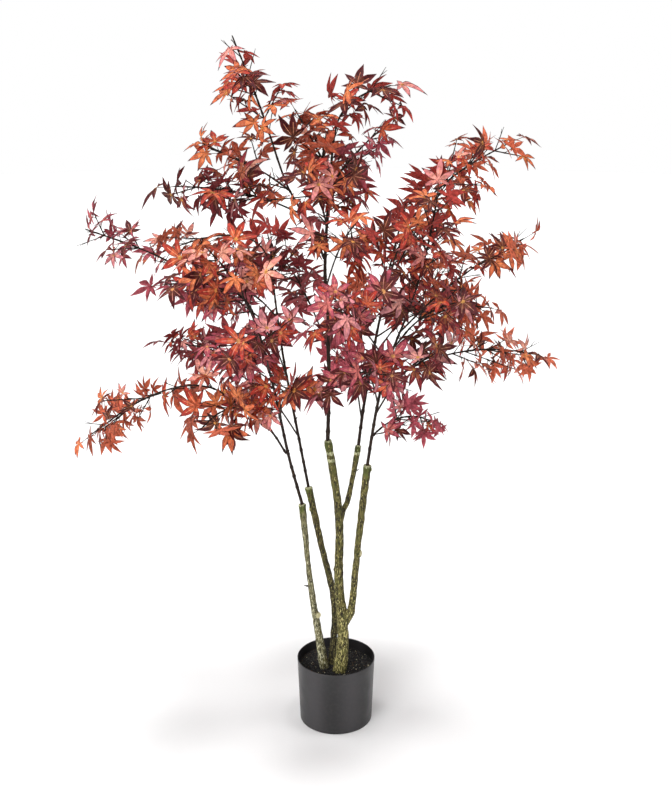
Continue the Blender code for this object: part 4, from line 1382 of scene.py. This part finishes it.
class MAPLE_OT_make_pot(bpy.types.Operator):
    """Turns the thin-walled pot with its rounded lip, foot edge and recessed underside"""

    bl_idname = "maple.make_pot"
    bl_label = "Make the pot"

    def execute(self, context):
        settings = context.scene.maple_pot
        edge = settings.foot_edge
        lip = settings.wall / 2
        stand = POT_BASE_RADIUS - FOOT_RING
        step = [(stand - way_in, settings.recess * share) for way_in, share in RECESS_STEP]
        foot = [(0, settings.recess)] + step + [(POT_BASE_RADIUS - edge * 1.4, 0)]
        foot += arc((POT_BASE_RADIUS - edge, edge), edge, -80, 0, EDGE_STEPS)
        outside = steps_between(edge, POT_HEIGHT - lip, OUTSIDE_STEPS, 0)
        rim = arc((POT_RIM_RADIUS - lip, POT_HEIGHT - lip), lip, 0, 180, LIP_STEPS)
        low = POT_FLOOR + INNER_CORNER
        inside = steps_between(low, POT_HEIGHT - lip, INSIDE_STEPS, settings.wall)[::-1]
        floor = wall_radius(POT_FLOOR) - settings.wall
        bottom = arc((floor - INNER_CORNER, low), INNER_CORNER, 0, -90, CORNER_STEPS)
        shape = Shape()
        profile = foot + outside + rim + inside + bottom + [(0, POT_FLOOR)]
        shape.add(*turned_form(profile, settings.segments))
        piece = shape.build("pot_shell", [moulded_polypropylene(settings.plastic)])
        dress(piece, ["pot"])
        return {"FINISHED"}


def stem_feet():
    """Where the stems stand on the fill, as places and radii."""
    limbs = grown_tree()[0]
    return [(limbs[name][0][0], limbs[name][1][0]) for name, row in TRUNKS.items() if row[0] is None]


def bed_height(x, y):
    """The top of the grit: uneven, and heaped a little against the stems."""
    place = Vector((x, y, 0))
    height = FILL_TOP - BED_SINK
    for rise, length in BED_WAVES:
        height += rise * noise.noise(place / length)
    for foot, radius in stem_feet():
        gap = max(math.hypot(x - foot.x, y - foot.y) - radius, 0)
        height += HEAP_HEIGHT * math.exp(-gap / HEAP_WIDTH)
    return height


def stone():
    """Points and faces of a plain grain, one across."""
    work = bmesh.new()
    bmesh.ops.create_icosphere(work, subdivisions=1, radius=0.5)
    points = [vertex.co.copy() for vertex in work.verts]
    faces = [[vertex.index for vertex in face.verts] for face in work.faces]
    work.free()
    return points, faces


class MAPLE_OT_make_grit(bpy.types.Operator):
    """Fills the pot up to its bed of black grit, with loose grains and chips on top"""

    bl_idname = "maple.make_grit"
    bl_label = "Make the grit"

    def execute(self, context):
        settings = context.scene.maple_pot
        inside = wall_radius(FILL_TOP) - POT_WALL - CLEARANCE
        low = FILL_BOX[0].z
        top = [(inside * (BED_RINGS - i) / BED_RINGS, FILL_TOP) for i in range(BED_RINGS)]
        foot = [(0, low), (wall_radius(low) - POT_WALL - CLEARANCE, low)]
        points, faces = turned_form(foot + top + [(0, FILL_TOP)], BED_SIDES)
        for point in points:
            if point.z > FILL_TOP - CLEARANCE:
                point.z = bed_height(point.x, point.y)
        bed = Shape()
        bed.add(points, faces)
        piece = bed.build("grit_bed", [lava_grit("lava_grit_bed", shaded(settings.grit, 0.8))])
        dress(piece, ["pot_fill"])
        self.scatter(settings, inside)
        return {"FINISHED"}

    def scatter(self, settings, inside):
        """Lays the loose grains on the bed, evenly but out of line."""
        rng = random.Random(GRAIN_SEED)
        corners, sides = stone()
        golden_angle = math.pi * (3 - math.sqrt(5))
        grains = Shape()
        for i in range(settings.grains):
            reach = (inside - GRAIN_MARGIN) * math.sqrt((i + 0.5) / settings.grains)
            angle = golden_angle * i
            x = reach * math.cos(angle) + rng.uniform(-GRAIN_STRAY, GRAIN_STRAY)
            y = reach * math.sin(angle) + rng.uniform(-GRAIN_STRAY, GRAIN_STRAY)
            size = settings.grain * rng.choice(GRAIN_SIZES)
            shrink = min(1.0, (inside - size * GRAIN_TO_WALL) / max(math.hypot(x, y), GRAIN_MARGIN))
            place = Vector((x * shrink, y * shrink, 0))
            place.z = bed_height(place.x, place.y) + size * GRAIN_LIFT
            turn = Euler([rng.uniform(0, 2 * math.pi) for _ in range(3)]).to_matrix()
            stretch = Vector([rng.uniform(*span) for span in GRAIN_STRETCH])
            lumpy = [corner * rng.uniform(*GRAIN_CORNERS) for corner in corners]
            finish = rng.choices(range(len(GRAIN_KINDS)), GRAIN_KINDS)[0]
            grains.add([place + turn @ (corner * stretch * size) for corner in lumpy], sides, finish)
        piece = grains.build("grit_grains", [
            lava_grit("lava_grit_black", settings.grit),
            lava_grit("lava_grit_charcoal", mixed(settings.grit, linear("5A5856"), 0.45)),
            lava_grit("bark_chips", mixed(settings.grit, linear("6B5138"), 0.50)),
            lava_grit("pumice", linear("B4AC92")),
        ])
        piece.data.shade_flat()
        dress(piece, ["pot_fill"])


def fine_limb(path, radii, step, first):
    """A limb again, smooth, with a ring at every step, and begun at a point in what carries it."""
    path = [first] + path
    radii = [radii[0]] + radii
    count = max(int(path_length(path) / step), len(path))
    spans = len(path) - 1
    run = []
    for i in range(count):
        place = i / (count - 1) * spans
        k = min(int(place), spans - 1)
        run.append(radii[k] + (radii[k + 1] - radii[k]) * (place - k))
    return smooth_path(path, count), run


def outward(stem, height, bearing):
    """The middle of a stem at a height, and a direction out of it on a bearing in degrees."""
    centre, along, radius = at_height(*stem, height)
    angle = math.radians(bearing)
    way = Vector((math.cos(angle), math.sin(angle), OUT_AND_UP))
    return centre, (way - along * way.dot(along) * SQUARED).normalized(), radius


def bark_relief(point, spacing, depth):
    """How far the bark stands out at a point: ridges along the stem, lumps, and a fine crust."""
    total = 0.0
    for share, size, shortening in BARK_RELIEF:
        place = Vector((point.x, point.y, point.z * shortening))
        total += share * noise.noise(place / (spacing * size))
    return depth * total


def fused(piece, voxel):
    """Replaces a piece's mesh with one skin over all its forms, with softened joins."""
    remesh = piece.modifiers.new("skin", "REMESH")
    remesh.mode = "VOXEL"
    remesh.voxel_size = voxel
    remesh.use_smooth_shade = True
    soften = piece.modifiers.new("soften", "SMOOTH")
    soften.factor = SKIN_SOFTNESS
    soften.iterations = SKIN_PASSES
    bpy.context.view_layer.update()
    graph = bpy.context.evaluated_depsgraph_get()
    skin = bpy.data.meshes.new_from_object(piece.evaluated_get(graph))
    piece.modifiers.clear()
    piece.data = skin
    skin.name = piece.name


class MAPLE_OT_make_bark(bpy.types.Operator):
    """Grows the stems' bark: fused forks, root flares, stubs, thorns and mossy collars"""

    bl_idname = "maple.make_bark"
    bl_label = "Make the bark"

    def execute(self, context):
        settings = context.scene.maple_bark
        names = ("wood", "shade", "moss", "fleck")
        wood, shade, moss, fleck = (getattr(settings, name)[:] for name in names)
        green = mixed(moss, wood, 0.35)
        grey = mixed(wood, linear("8E8B6C"), 0.50)
        # A browner, darker copy of the wood for the back stem: painted shade, as that stem stands in the
        # others' shade
        brown = mixed(wood, linear("4A3220"), 0.25)
        dry = linear("C9C5A4")
        lichen = linear("A9AC72")
        chalk = linear("B4B68C")
        barks = {
            "bark_centre": painted_bark("stippled_bark", wood, shade, fleck, 0.52, green),
            "bark_left": painted_bark("weathered_bark", grey, mixed(shade, grey, 0.15), dry, 0.53, wood),
            # The back stem's bark is also darkened near the ground with painted shade
            "bark_back": painted_bark("shaded_bark", brown, shade, fleck, 0.54, green, foot=0.42),
        }
        collar = painted_bark("moss_flock", moss, mixed(moss, shade, 0.6), lichen, 0.60, shaded(moss, 1.4))
        sawn = sawn_wood("sawn_wood", linear("D6CDA0"))
        thorn = coated_branch("dark_thorn", linear("2A2018"), linear("4A3E28"))
        plaster = painted_bark("chalky_rim", chalk, mixed(shade, moss, 0.5), dry, 0.50, chalk)
        for name, stems in BARK_PIECES.items():
            piece = self.grow(name, stems, settings, [barks[name], collar, sawn, thorn, plaster])
            dress(piece, stems)
        return {"FINISHED"}

    def grow(self, name, stems, settings, materials):
        """One skin over the named stems, with relief, and each face's finish by its place."""
        limbs = grown_tree()[0]
        forms = Shape()
        for stem in stems:
            parent = TRUNKS[stem][0]
            path, radii = limbs[stem]
            first = path[0] - UP * STEM_IN_FILL
            if parent:
                first = at_height(*limbs[parent], path[0].z - FORK_DEPTH)[0]
            forms.add(*tube(*fine_limb(path, radii, BARK_RING, first), BARK_SIDES))
        stubs = [row for row in STUBS if row[0] in stems]
        for stem, height, bearing, reach, radius in stubs:
            centre, way, stem_radius = outward(limbs[stem], height, bearing)
            axis = [centre, centre + way * stem_radius * STUB_MIDDLE, centre + way * reach]
            forms.add(*tube(axis, [radius * swell for swell in STUB_SWELL], STUB_SIDES))
        piece = forms.build(name, materials)
        fused(piece, settings.voxel)
        self.roughen(piece.data, settings)
        self.deal_finishes(piece.data, stems, stubs, settings)
        self.add_thorns(piece, stems)
        return piece

    def roughen(self, mesh, settings):
        """Moves every point out or in by the bark's relief."""
        normals = [normal.vector.copy() for normal in mesh.vertex_normals]
        for vertex, normal in zip(mesh.vertices, normals):
            vertex.co += normal * bark_relief(vertex.co, settings.ridge, settings.relief)

    def deal_finishes(self, mesh, stems, stubs, settings):
        """Moss on the collars, plaster on their rims, and sawn wood on the cut ends of the stubs."""
        limbs = grown_tree()[0]
        tops = [limbs[stem][0][-1] for stem in stems]
        cuts = []
        for stem, height, bearing, reach, radius in stubs:
            centre, way, _ = outward(limbs[stem], height, bearing)
            cuts.append((centre + way * reach, way, radius))
        for face in mesh.polygons:
            place = face.center
            streak = noise.noise(Vector((place.x, place.y, place.z * STREAK_HEIGHT)) / STREAK)
            below = min((top - place).length for top in tops)
            if below < settings.sleeve * (1 + FRAYING * streak):
                face.material_index = MOSS
            if min(abs(top.z - place.z) for top in tops) < settings.rim * (1 + streak):
                face.material_index = CHALK
            for end, way, radius in cuts:
                near = (place - end).length < radius * CUT_REACH
                level = abs((place - end).dot(way)) < CUT_DEPTH
                if near and level and face.normal.dot(way) > CUT_FACING:
                    face.material_index = SAWN

    def add_thorns(self, piece, stems):
        """Sets the thin thorns on the finished skin."""
        limbs = grown_tree()[0]
        work = bmesh.new()
        work.from_mesh(piece.data)
        for stem, height, bearing, reach, radius in THORNS:
            if stem not in stems:
                continue
            centre, way, _ = outward(limbs[stem], height, bearing)
            tip = centre + way * reach
            path = [centre, centre.lerp(tip, THORN_MIDDLE), tip + UP * THORN_RISE]
            points, faces = tube(path, [radius * share for share in THORN_TAPER], THORN_SIDES)
            corners = [work.verts.new(point) for point in points]
            for face in faces:
                made = work.faces.new([corners[i] for i in face])
                made.material_index = THORN
                made.smooth = True
        work.to_mesh(piece.data)
        work.free()


def knotted(path, radii, knots, half_length, swell):
    """The radii of a branch with a swelling at each knot, by its distance from the foot."""
    run = []
    travelled = 0.0
    for i, radius in enumerate(radii):
        if i:
            travelled += (path[i] - path[i - 1]).length
        bulge = sum(math.exp(-(((travelled - knot) / half_length) ** 2)) for knot in knots)
        run.append(radius * (1 + swell * min(bulge, 1.0)))
    return run


class MAPLE_OT_make_branches(bpy.types.Operator):
    """Makes the dark leaders and boughs, knotted and lightly grained"""

    bl_idname = "maple.make_branches"
    bl_label = "Make the branches"

    def execute(self, context):
        settings = context.scene.maple_branches
        coat = coated_branch("coated_branch", settings.bark[:], settings.edge[:])
        limbs = grown_tree()[0]
        for name in (*LEADERS, *BOUGHS):
            path, radii = limbs[name]
            rng = random.Random(name)
            sunk = LEADER_SUNK if name in LEADERS else BOUGH_SUNK
            first = path[0] + (path[0] - path[1]).normalized() * sunk
            length = path_length(path)
            places = [FIRST_KNOT]
            while places[-1] < length:
                places.append(places[-1] + settings.knot_gap * rng.uniform(*KNOT_GAPS))
            path, radii = fine_limb(path, radii, settings.ring, first)
            radii = knotted(path, radii, places, settings.knot, BRANCH_KNOT)
            points, faces = tube(path, radii, BRANCH_SIDES)
            grained = []
            for i, point in enumerate(points):
                centre = path[i // BRANCH_SIDES]
                stretched = Vector((point.x, point.y, point.z * BRANCH_GRAIN_HEIGHT))
                fine, coarse = noise.noise(stretched / BRANCH_GRAIN), noise.noise(point / BRANCH_LUMPS)
                swell = 1 + BRANCH_GRAIN_RISE * fine + BRANCH_LUMPS_RISE * coarse
                grained.append(centre + (point - centre) * swell)
            branch = Shape()
            branch.add(grained, faces)
            self.add_buds(branch, path, radii, places, rng)
            piece = branch.build("branch_" + name.split("_")[1], [coat])
            dress(piece, [name])
        return {"FINISHED"}

    def add_buds(self, branch, path, radii, places, rng):
        """Sets a small cut-off bud on some of the knots."""
        for place in places[1:-1]:
            if rng.random() < BUDLESS / 100:
                continue
            travelled = 0.0
            for i in range(1, len(path)):
                travelled += (path[i] - path[i - 1]).length
                if travelled >= place:
                    break
            along = tangent(path, i)
            square = along.orthogonal()
            aside = turned(square.normalized(), along.cross(square).normalized(), rng.uniform(0, 360))
            way = turned(along, aside, rng.uniform(*BUD_ANGLE))
            end = path[i] + way * (radii[i] + rng.uniform(*BUD_LENGTH))
            branch.add(*tube([path[i], path[i].lerp(end, 0.7), end], BUD_RADII, TWIG_SIDES))


def stem_distance(path, place):
    """How far along a twig's path a place on it lies."""
    travelled = 0.0
    best = (1.0, 0.0)
    for a, b in zip(path, path[1:]):
        span = (b - a).length
        share = min(max((place - a).dot(b - a) / span**2, 0.0), 1.0)
        best = min(best, ((a.lerp(b, share) - place).length, travelled + share * span))
        travelled += span
    return best[1]


def along_line(path, step):
    """A path's own line again, with a point at about every step."""
    line = []
    for a, b in zip(path, path[1:]):
        count = max(int((b - a).length / step), 1)
        line += [a.lerp(b, i / count) for i in range(count)]
    return line + [path[-1]]


class MAPLE_OT_make_twigs(bpy.types.Operator):
    """Makes every spray's twig, its side shoots, its bare twigs and the stalks of its leaves"""

    bl_idname = "maple.make_twigs"
    bl_label = "Make the twigs"

    def execute(self, context):
        settings = context.scene.maple_branches
        coat = coated_branch("coated_twig", shaded(settings.bark, 1.1), settings.edge[:])
        stalk_wire = coated_branch("tinted_stalk", linear("3A1A16"), linear("7A5233"))
        sprays = grown_tree()[1]
        twigs = Shape()
        stalks = Shape()
        for spray in sprays:
            self.add_stem(twigs, spray, settings)
            shoots = spray.shoots + spray.fine_shoots
            for shoot in shoots:
                self.add_shoot(twigs, spray, shoot, settings)
            for leaf in spray.leaves:
                if leaf not in shoots:
                    self.add_stalk(stalks, leaf, settings)
        nodes = [spray.name for spray in sprays]
        dress(twigs.build("twigs", [coat]), nodes)
        dress(stalks.build("leaf_stalks", [stalk_wire]), nodes)
        return {"FINISHED"}

    def add_stem(self, twigs, spray, settings):
        """The spray's twig, from inside its limb to its tip, with a knot where anything leaves it."""
        rng = random.Random(spray.name)
        sunk = spray.stem[0] + (spray.stem[0] - spray.stem[1]).normalized() * TWIG_SUNK
        path = smooth_path([sunk] + spray.stem, int(path_length(spray.stem) / settings.ring))
        roots = [leaf.root for leaf in spray.leaves] + [root for root, _ in spray.bare_twigs]
        knots = [stem_distance(path, root) for root in roots]
        radii = tapered(settings.twig_foot, settings.twig_tip, len(path))
        radii = knotted(path, radii, knots, settings.knot, TWIG_KNOT)
        radii[-1] *= 0.5
        grained = [r * (1 + TWIG_LUMPS_RISE * noise.noise(p / TWIG_LUMPS)) for p, r in zip(path, radii)]
        twigs.add(*tube(path, grained, TWIG_SIDES))
        for root, end in spray.bare_twigs:
            self.add_bare_twig(twigs, rng, root, end)
        if spray.bare:
            along = tangent(spray.stem, len(spray.stem) - 1)
            aside = spray.frame(along, rng.uniform(0, TIP_FORK_TURN))
            fork = spray.stem[-1] - along * TIP_FORK_BACK
            end = fork + turned(along, aside, TIP_FORK_ANGLE) * TIP_FORK_LENGTH
            self.add_bare_twig(twigs, rng, fork, end)

    def add_bare_twig(self, twigs, rng, root, end):
        """A thin bare twig that forks near its end."""
        fork = root.lerp(end, rng.uniform(*PRONG_START))
        along = (end - root).normalized()
        side = turned(along, along.orthogonal().normalized(), rng.uniform(-PRONG_ANGLE, PRONG_ANGLE))
        twigs.add(*tube([root, fork, end], BARE_TWIG_RADII, STALK_SIDES))
        prong = fork + side * (end - fork).length * PRONG_LENGTH
        twigs.add(*tube([fork, fork.lerp(prong, 0.5), prong], PRONG_RADII, STALK_SIDES))

    def add_shoot(self, twigs, spray, shoot, settings):
        """A side shoot, out to the leaf that it carries."""
        path = along_line([shoot.root, shoot.centre - shoot.heading * SHORT_OF_LEAF], settings.ring)
        radii = tapered(settings.shoot_foot, settings.shoot_tip, len(path))
        roots = [leaf.root for leaf in spray.leaves if leaf is not shoot]
        ahead = [root for root in roots if (root - shoot.root).dot(shoot.heading) > PAST_ITS_FOOT]
        on_it = [root for root in ahead if (root - shoot.root).cross(shoot.heading).length < ON_THE_SHOOT]
        knots = [(root - shoot.root).length for root in on_it]
        radii = knotted(path, radii, knots, settings.knot, SHOOT_KNOT)
        twigs.add(*tube(path, radii, SHOOT_SIDES))

    def add_stalk(self, stalks, leaf, settings):
        """A leaf's stalk, slightly bowed, thicker at its two ends."""
        end = leaf.centre - leaf.normal * UNDER_LEAF
        sag = UP * (leaf.centre - leaf.root).length * -STALK_SAG
        path = bend(leaf.root, leaf.root.lerp(end, 0.5) + sag, end, len(STALK_SWELL))
        radii = [settings.stalk * swell for swell in STALK_SWELL]
        stalks.add(*tube(path, radii, STALK_SIDES))


def lobe_half_width(t, width):
    """Half the width of a lobe at share t of its reach, as a share of that reach: it fills its
    sector round the heart, narrows, is widest before half way, and ends in a long point."""
    body = math.sin(math.pi * t**0.82) ** 1.3
    return min(width * (body + 0.10 * (1 - t)), 0.46 * t + 0.010)


class Blade:
    """The printed blade of one leaf: seven folded lobes with ribs, and a plainer underside."""

    def __init__(self, leaf, rng, settings):
        self.leaf = leaf
        lobes = list(zip(LOBES, leaf.lobes, leaf.curl))
        lobes += [(lobe, rng.uniform(*BASAL_SCALE), rng.uniform(*LOBE_CURL)) for lobe in BASAL_LOBES]
        self.lobes = []
        for (degrees, share), scale, curl in lobes:
            wider = BASAL_WIDTH if (degrees, share) in BASAL_LOBES else 1.0
            self.lobes.append({
                "angle": math.radians(degrees + settings.stray * rng.uniform(-1, 1)),
                "reach": share * scale * rng.uniform(*REACH_STRAY),
                "drop": LOBE_DROOP * share**2 + curl + settings.curl * rng.uniform(*CURL_STRAY),
                "width": settings.width * rng.uniform(*WIDTH_STRAY) * wider,
                "fold": settings.fold * rng.uniform(*FOLD_STRAY),
                "twist": settings.twist * rng.uniform(-1, 1),
                "sweep": settings.sweep * rng.uniform(-1, 1),
            })
        self.heart = rng.random() < HEARTS / 10

    def point(self, lobe, t, across, under):
        """A point of a lobe, from its share of the reach and its share of the half width."""
        leaf = self.leaf
        side = leaf.normal.cross(leaf.forward)
        angle = lobe["angle"]
        ahead = leaf.forward * math.cos(angle) + side * math.sin(angle)
        aside = side * math.cos(angle) - leaf.forward * math.sin(angle)
        half = lobe_half_width(t, lobe["width"]) * across * lobe["reach"]
        sideways = half + lobe["sweep"] * lobe["reach"] * t * t
        lift = abs(half) * lobe["fold"] + half * lobe["twist"] * t - lobe["drop"] * t**1.8
        flat = ahead * lobe["reach"] * t + aside * sideways + leaf.normal * lift
        return leaf.centre + flat * leaf.length - leaf.normal * under

    def sheet(self, lobe, strips, under):
        """Points and faces of one side of a lobe, facing up or down."""
        points = [self.point(lobe, t, a, under) for t in LOBE_ROWS for a in strips]
        wide = len(strips)
        faces = []
        for row in range(len(LOBE_ROWS) - 1):
            for k in range(wide - 1):
                a = row * wide + k
                face = [a, a + wide, a + wide + 1, a + 1]
                faces.append(face if under else face[::-1])
        return points, faces

    def finishes(self, shade):
        """The finish of each face of a lobe's upper side, heart first and row by row."""
        inner = FIRST_SHADE + 2 * shade
        outer = inner + 1
        strips = len(LOBE_STRIPS) - 1
        dealt = []
        for row in range(len(LOBE_ROWS) - 1):
            if row < HEART_ROWS:
                dealt += [HEART if self.heart else inner] * strips
            elif row == len(LOBE_ROWS) - 2:
                dealt += [TIP] * strips
            else:
                blade = inner if row < INNER_ROWS else outer
                dealt += [MARGIN, blade, MIDRIB if row < RIB_ROWS else outer, blade, MARGIN]
        return dealt

    def draw(self, shape, shade):
        """Adds the whole blade to a shape."""
        for lobe in self.lobes:
            shape.add(*self.sheet(lobe, LOBE_STRIPS, 0.0), self.finishes(shade))
            shape.add(*self.sheet(lobe, UNDERSIDE_STRIPS, CLOTH_THICKNESS), UNDERSIDE)


class MAPLE_OT_make_leaves(bpy.types.Operator):
    """Cuts every leaf in its own outline and deals the autumn tints out by spray"""

    bl_idname = "maple.make_leaves"
    bl_label = "Make the leaves"

    def execute(self, context):
        settings = context.scene.maple_leaves
        sprays = grown_tree()[1]
        tip = printed_polyester("cloth_tip", settings.tip[:])
        for tint in TINTS:
            parts = self.part_colours(settings, tint).items()
            finishes = [printed_polyester(f"cloth_{tint}_{part}", colour) for part, colour in parts]
            finishes.insert(TIP, tip)
            own = [spray for spray in sprays if spray.tint == tint]
            shape = Shape()
            for spray in own:
                self.add_spray(shape, spray, settings)
            dress(shape.build("leaves_" + tint, finishes), [spray.name for spray in own])
        return {"FINISHED"}

    def part_colours(self, settings, tint):
        """The colours of a tint's parts, in the order of the finishes but for the shared tip."""
        colour = getattr(settings, tint)[:]
        colours = {
            "heart": mixed(colour, settings.heart, HEART_SHARE),
            "midrib": mixed(colour, settings.rib, MIDRIB_SHARE),
            "underside": mixed(settings.underside, colour, UNDERSIDE_SHARE),
            "margin": mixed(shaded(colour, MARGIN_SHADE), settings.tip, MARGIN_SHARE),
        }
        for shade, start, brightness, fading, _ in SHADES:
            base = getattr(settings, start.get(tint, tint))[:]
            bright = mixed(shaded(base, brightness), settings.faded, fading)
            gold = shaded(settings.heart, min(brightness, 1.0))
            colours[shade + "_inner"] = mixed(bright, gold, INNER_SHARE)
            colours[shade + "_outer"] = mixed(shaded(bright, OUTER_SHADE), settings.tip, OUTER_SHARE)
        return colours

    def add_spray(self, shape, spray, settings):
        """Adds all the leaves of a spray, each in one of its tint's shades."""
        rng = random.Random(spray.name + " looks")
        weights = [row[4] for row in SHADES]
        for leaf in spray.leaves:
            shade = rng.choices(range(len(SHADES)), weights)[0]
            Blade(leaf, rng, settings).draw(shape, shade)


class MAPLE_OT_make_stage(bpy.types.Operator):
    """Lays the pale floor, sets the soft studio lights and the white surround, and places the camera"""

    bl_idname = "maple.make_stage"
    bl_label = "Make the stage"

    def execute(self, context):
        settings = context.scene.maple_stage
        self.lay_floor(settings)
        for name, (place, strength, angle) in LIGHTS.items():
            self.hang_light(name, place, getattr(settings, strength), angle)
        self.light_surround(context, settings)
        self.place_camera(context)
        context.scene.view_settings.view_transform = "Standard"
        return {"FINISHED"}

    def lay_floor(self, settings):
        """The floor, a wide disc of white paper."""
        points = [Vector((0, 0, 0))]
        for share in FLOOR_RINGS:
            for k in range(FLOOR_SIDES):
                angle = 2 * math.pi * k / FLOOR_SIDES
                points.append(Vector((math.cos(angle), math.sin(angle), 0)) * settings.floor * share)
        faces = []
        for k in range(FLOOR_SIDES):
            a, b = 1 + k, 1 + (k + 1) % FLOOR_SIDES
            faces.append([0, a, b])
            faces.append([a, a + FLOOR_SIDES, b + FLOOR_SIDES, b])
        shape = Shape()
        shape.add(points, faces)
        shape.build("paper_floor", [seamless_paper()])

    def hang_light(self, name, place, strength, angle):
        """A wide, distant light that shines from a direction, its width as an angle in degrees."""
        lamp = bpy.data.lights.new(name, "SUN")
        lamp.energy = strength
        lamp.angle = math.radians(angle)
        light = bpy.data.objects.new(name, lamp)
        light.rotation_euler = Vector(place).to_track_quat("Z", "Y").to_euler()
        light.location = Vector(place) * LIGHTS_OUT
        bpy.context.scene.collection.objects.link(light)

    def light_surround(self, context, settings):
        """A surround that looks white and lights the tree more softly."""
        world = bpy.data.worlds.new("white_surround")
        world.use_nodes = True
        tree = world.node_tree
        tree.nodes.clear()
        seen = add_node(tree, "LightPath", {}, {})["Is Camera Ray"]
        strength = add_node(tree, "MapRange", {}, {0: seen, "To Min": settings.air, "To Max": 1.0})[0]
        air = add_node(tree, "Background", {}, {"Color": (1.0, 1.0, 1.0), "Strength": strength})[0]
        add_node(tree, "OutputWorld", {}, {"Surface": air})
        context.scene.world = world

    def place_camera(self, context):
        """The photograph's camera, which looks slightly down at the tree."""
        lens = bpy.data.cameras.new("camera")
        lens.sensor_width = SENSOR
        lens.lens = FOCAL_PIXELS / IMAGE_HEIGHT * SENSOR
        lens.clip_end = FARTHEST_SEEN
        camera = bpy.data.objects.new("camera", lens)
        camera.location = CAMERA_PLACE
        camera.rotation_euler = (math.radians(90 - CAMERA_PITCH), 0, 0)
        context.scene.collection.objects.link(camera)
        context.scene.camera = camera


class MAPLE_PT_sidebar(bpy.types.Panel):
    """Lists the pieces of the tree and their settings"""

    bl_label = "Potted maple"
    bl_idname = "MAPLE_PT_sidebar"
    bl_space_type = "VIEW_3D"
    bl_region_type = "UI"
    bl_category = "Maple"

    def draw(self, context):
        for section, group, operators in SECTIONS:
            box = self.layout.box()
            for operator in operators:
                box.operator(operator.bl_idname)
            for name in group.__annotations__:
                box.prop(getattr(context.scene, section), name)


SECTIONS = (
    ("maple_pot", PotSettings, (MAPLE_OT_make_pot, MAPLE_OT_make_grit)),
    ("maple_bark", BarkSettings, (MAPLE_OT_make_bark,)),
    ("maple_branches", BranchSettings, (MAPLE_OT_make_branches, MAPLE_OT_make_twigs)),
    ("maple_leaves", LeafSettings, (MAPLE_OT_make_leaves,)),
    ("maple_stage", StageSettings, (MAPLE_OT_make_stage,)),
)


def register():
    """Registers the settings, the operators and the panel."""
    for section, group, operators in SECTIONS:
        bpy.utils.register_class(group)
        setattr(bpy.types.Scene, section, PointerProperty(type=group))
        for operator in operators:
            bpy.utils.register_class(operator)
    bpy.utils.register_class(MAPLE_PT_sidebar)


def unregister():
    """Takes them out again, in the opposite order."""
    bpy.utils.unregister_class(MAPLE_PT_sidebar)
    for section, group, operators in reversed(SECTIONS):
        for operator in reversed(operators):
            bpy.utils.unregister_class(operator)
        delattr(bpy.types.Scene, section)
        bpy.utils.unregister_class(group)


def main():
    """Makes every piece and the stage."""
    register()
    bpy.ops.maple.make_pot()
    bpy.ops.maple.make_grit()
    bpy.ops.maple.make_bark()
    bpy.ops.maple.make_branches()
    bpy.ops.maple.make_twigs()
    bpy.ops.maple.make_leaves()
    bpy.ops.maple.make_stage()


if __name__ == "__main__":
    main()
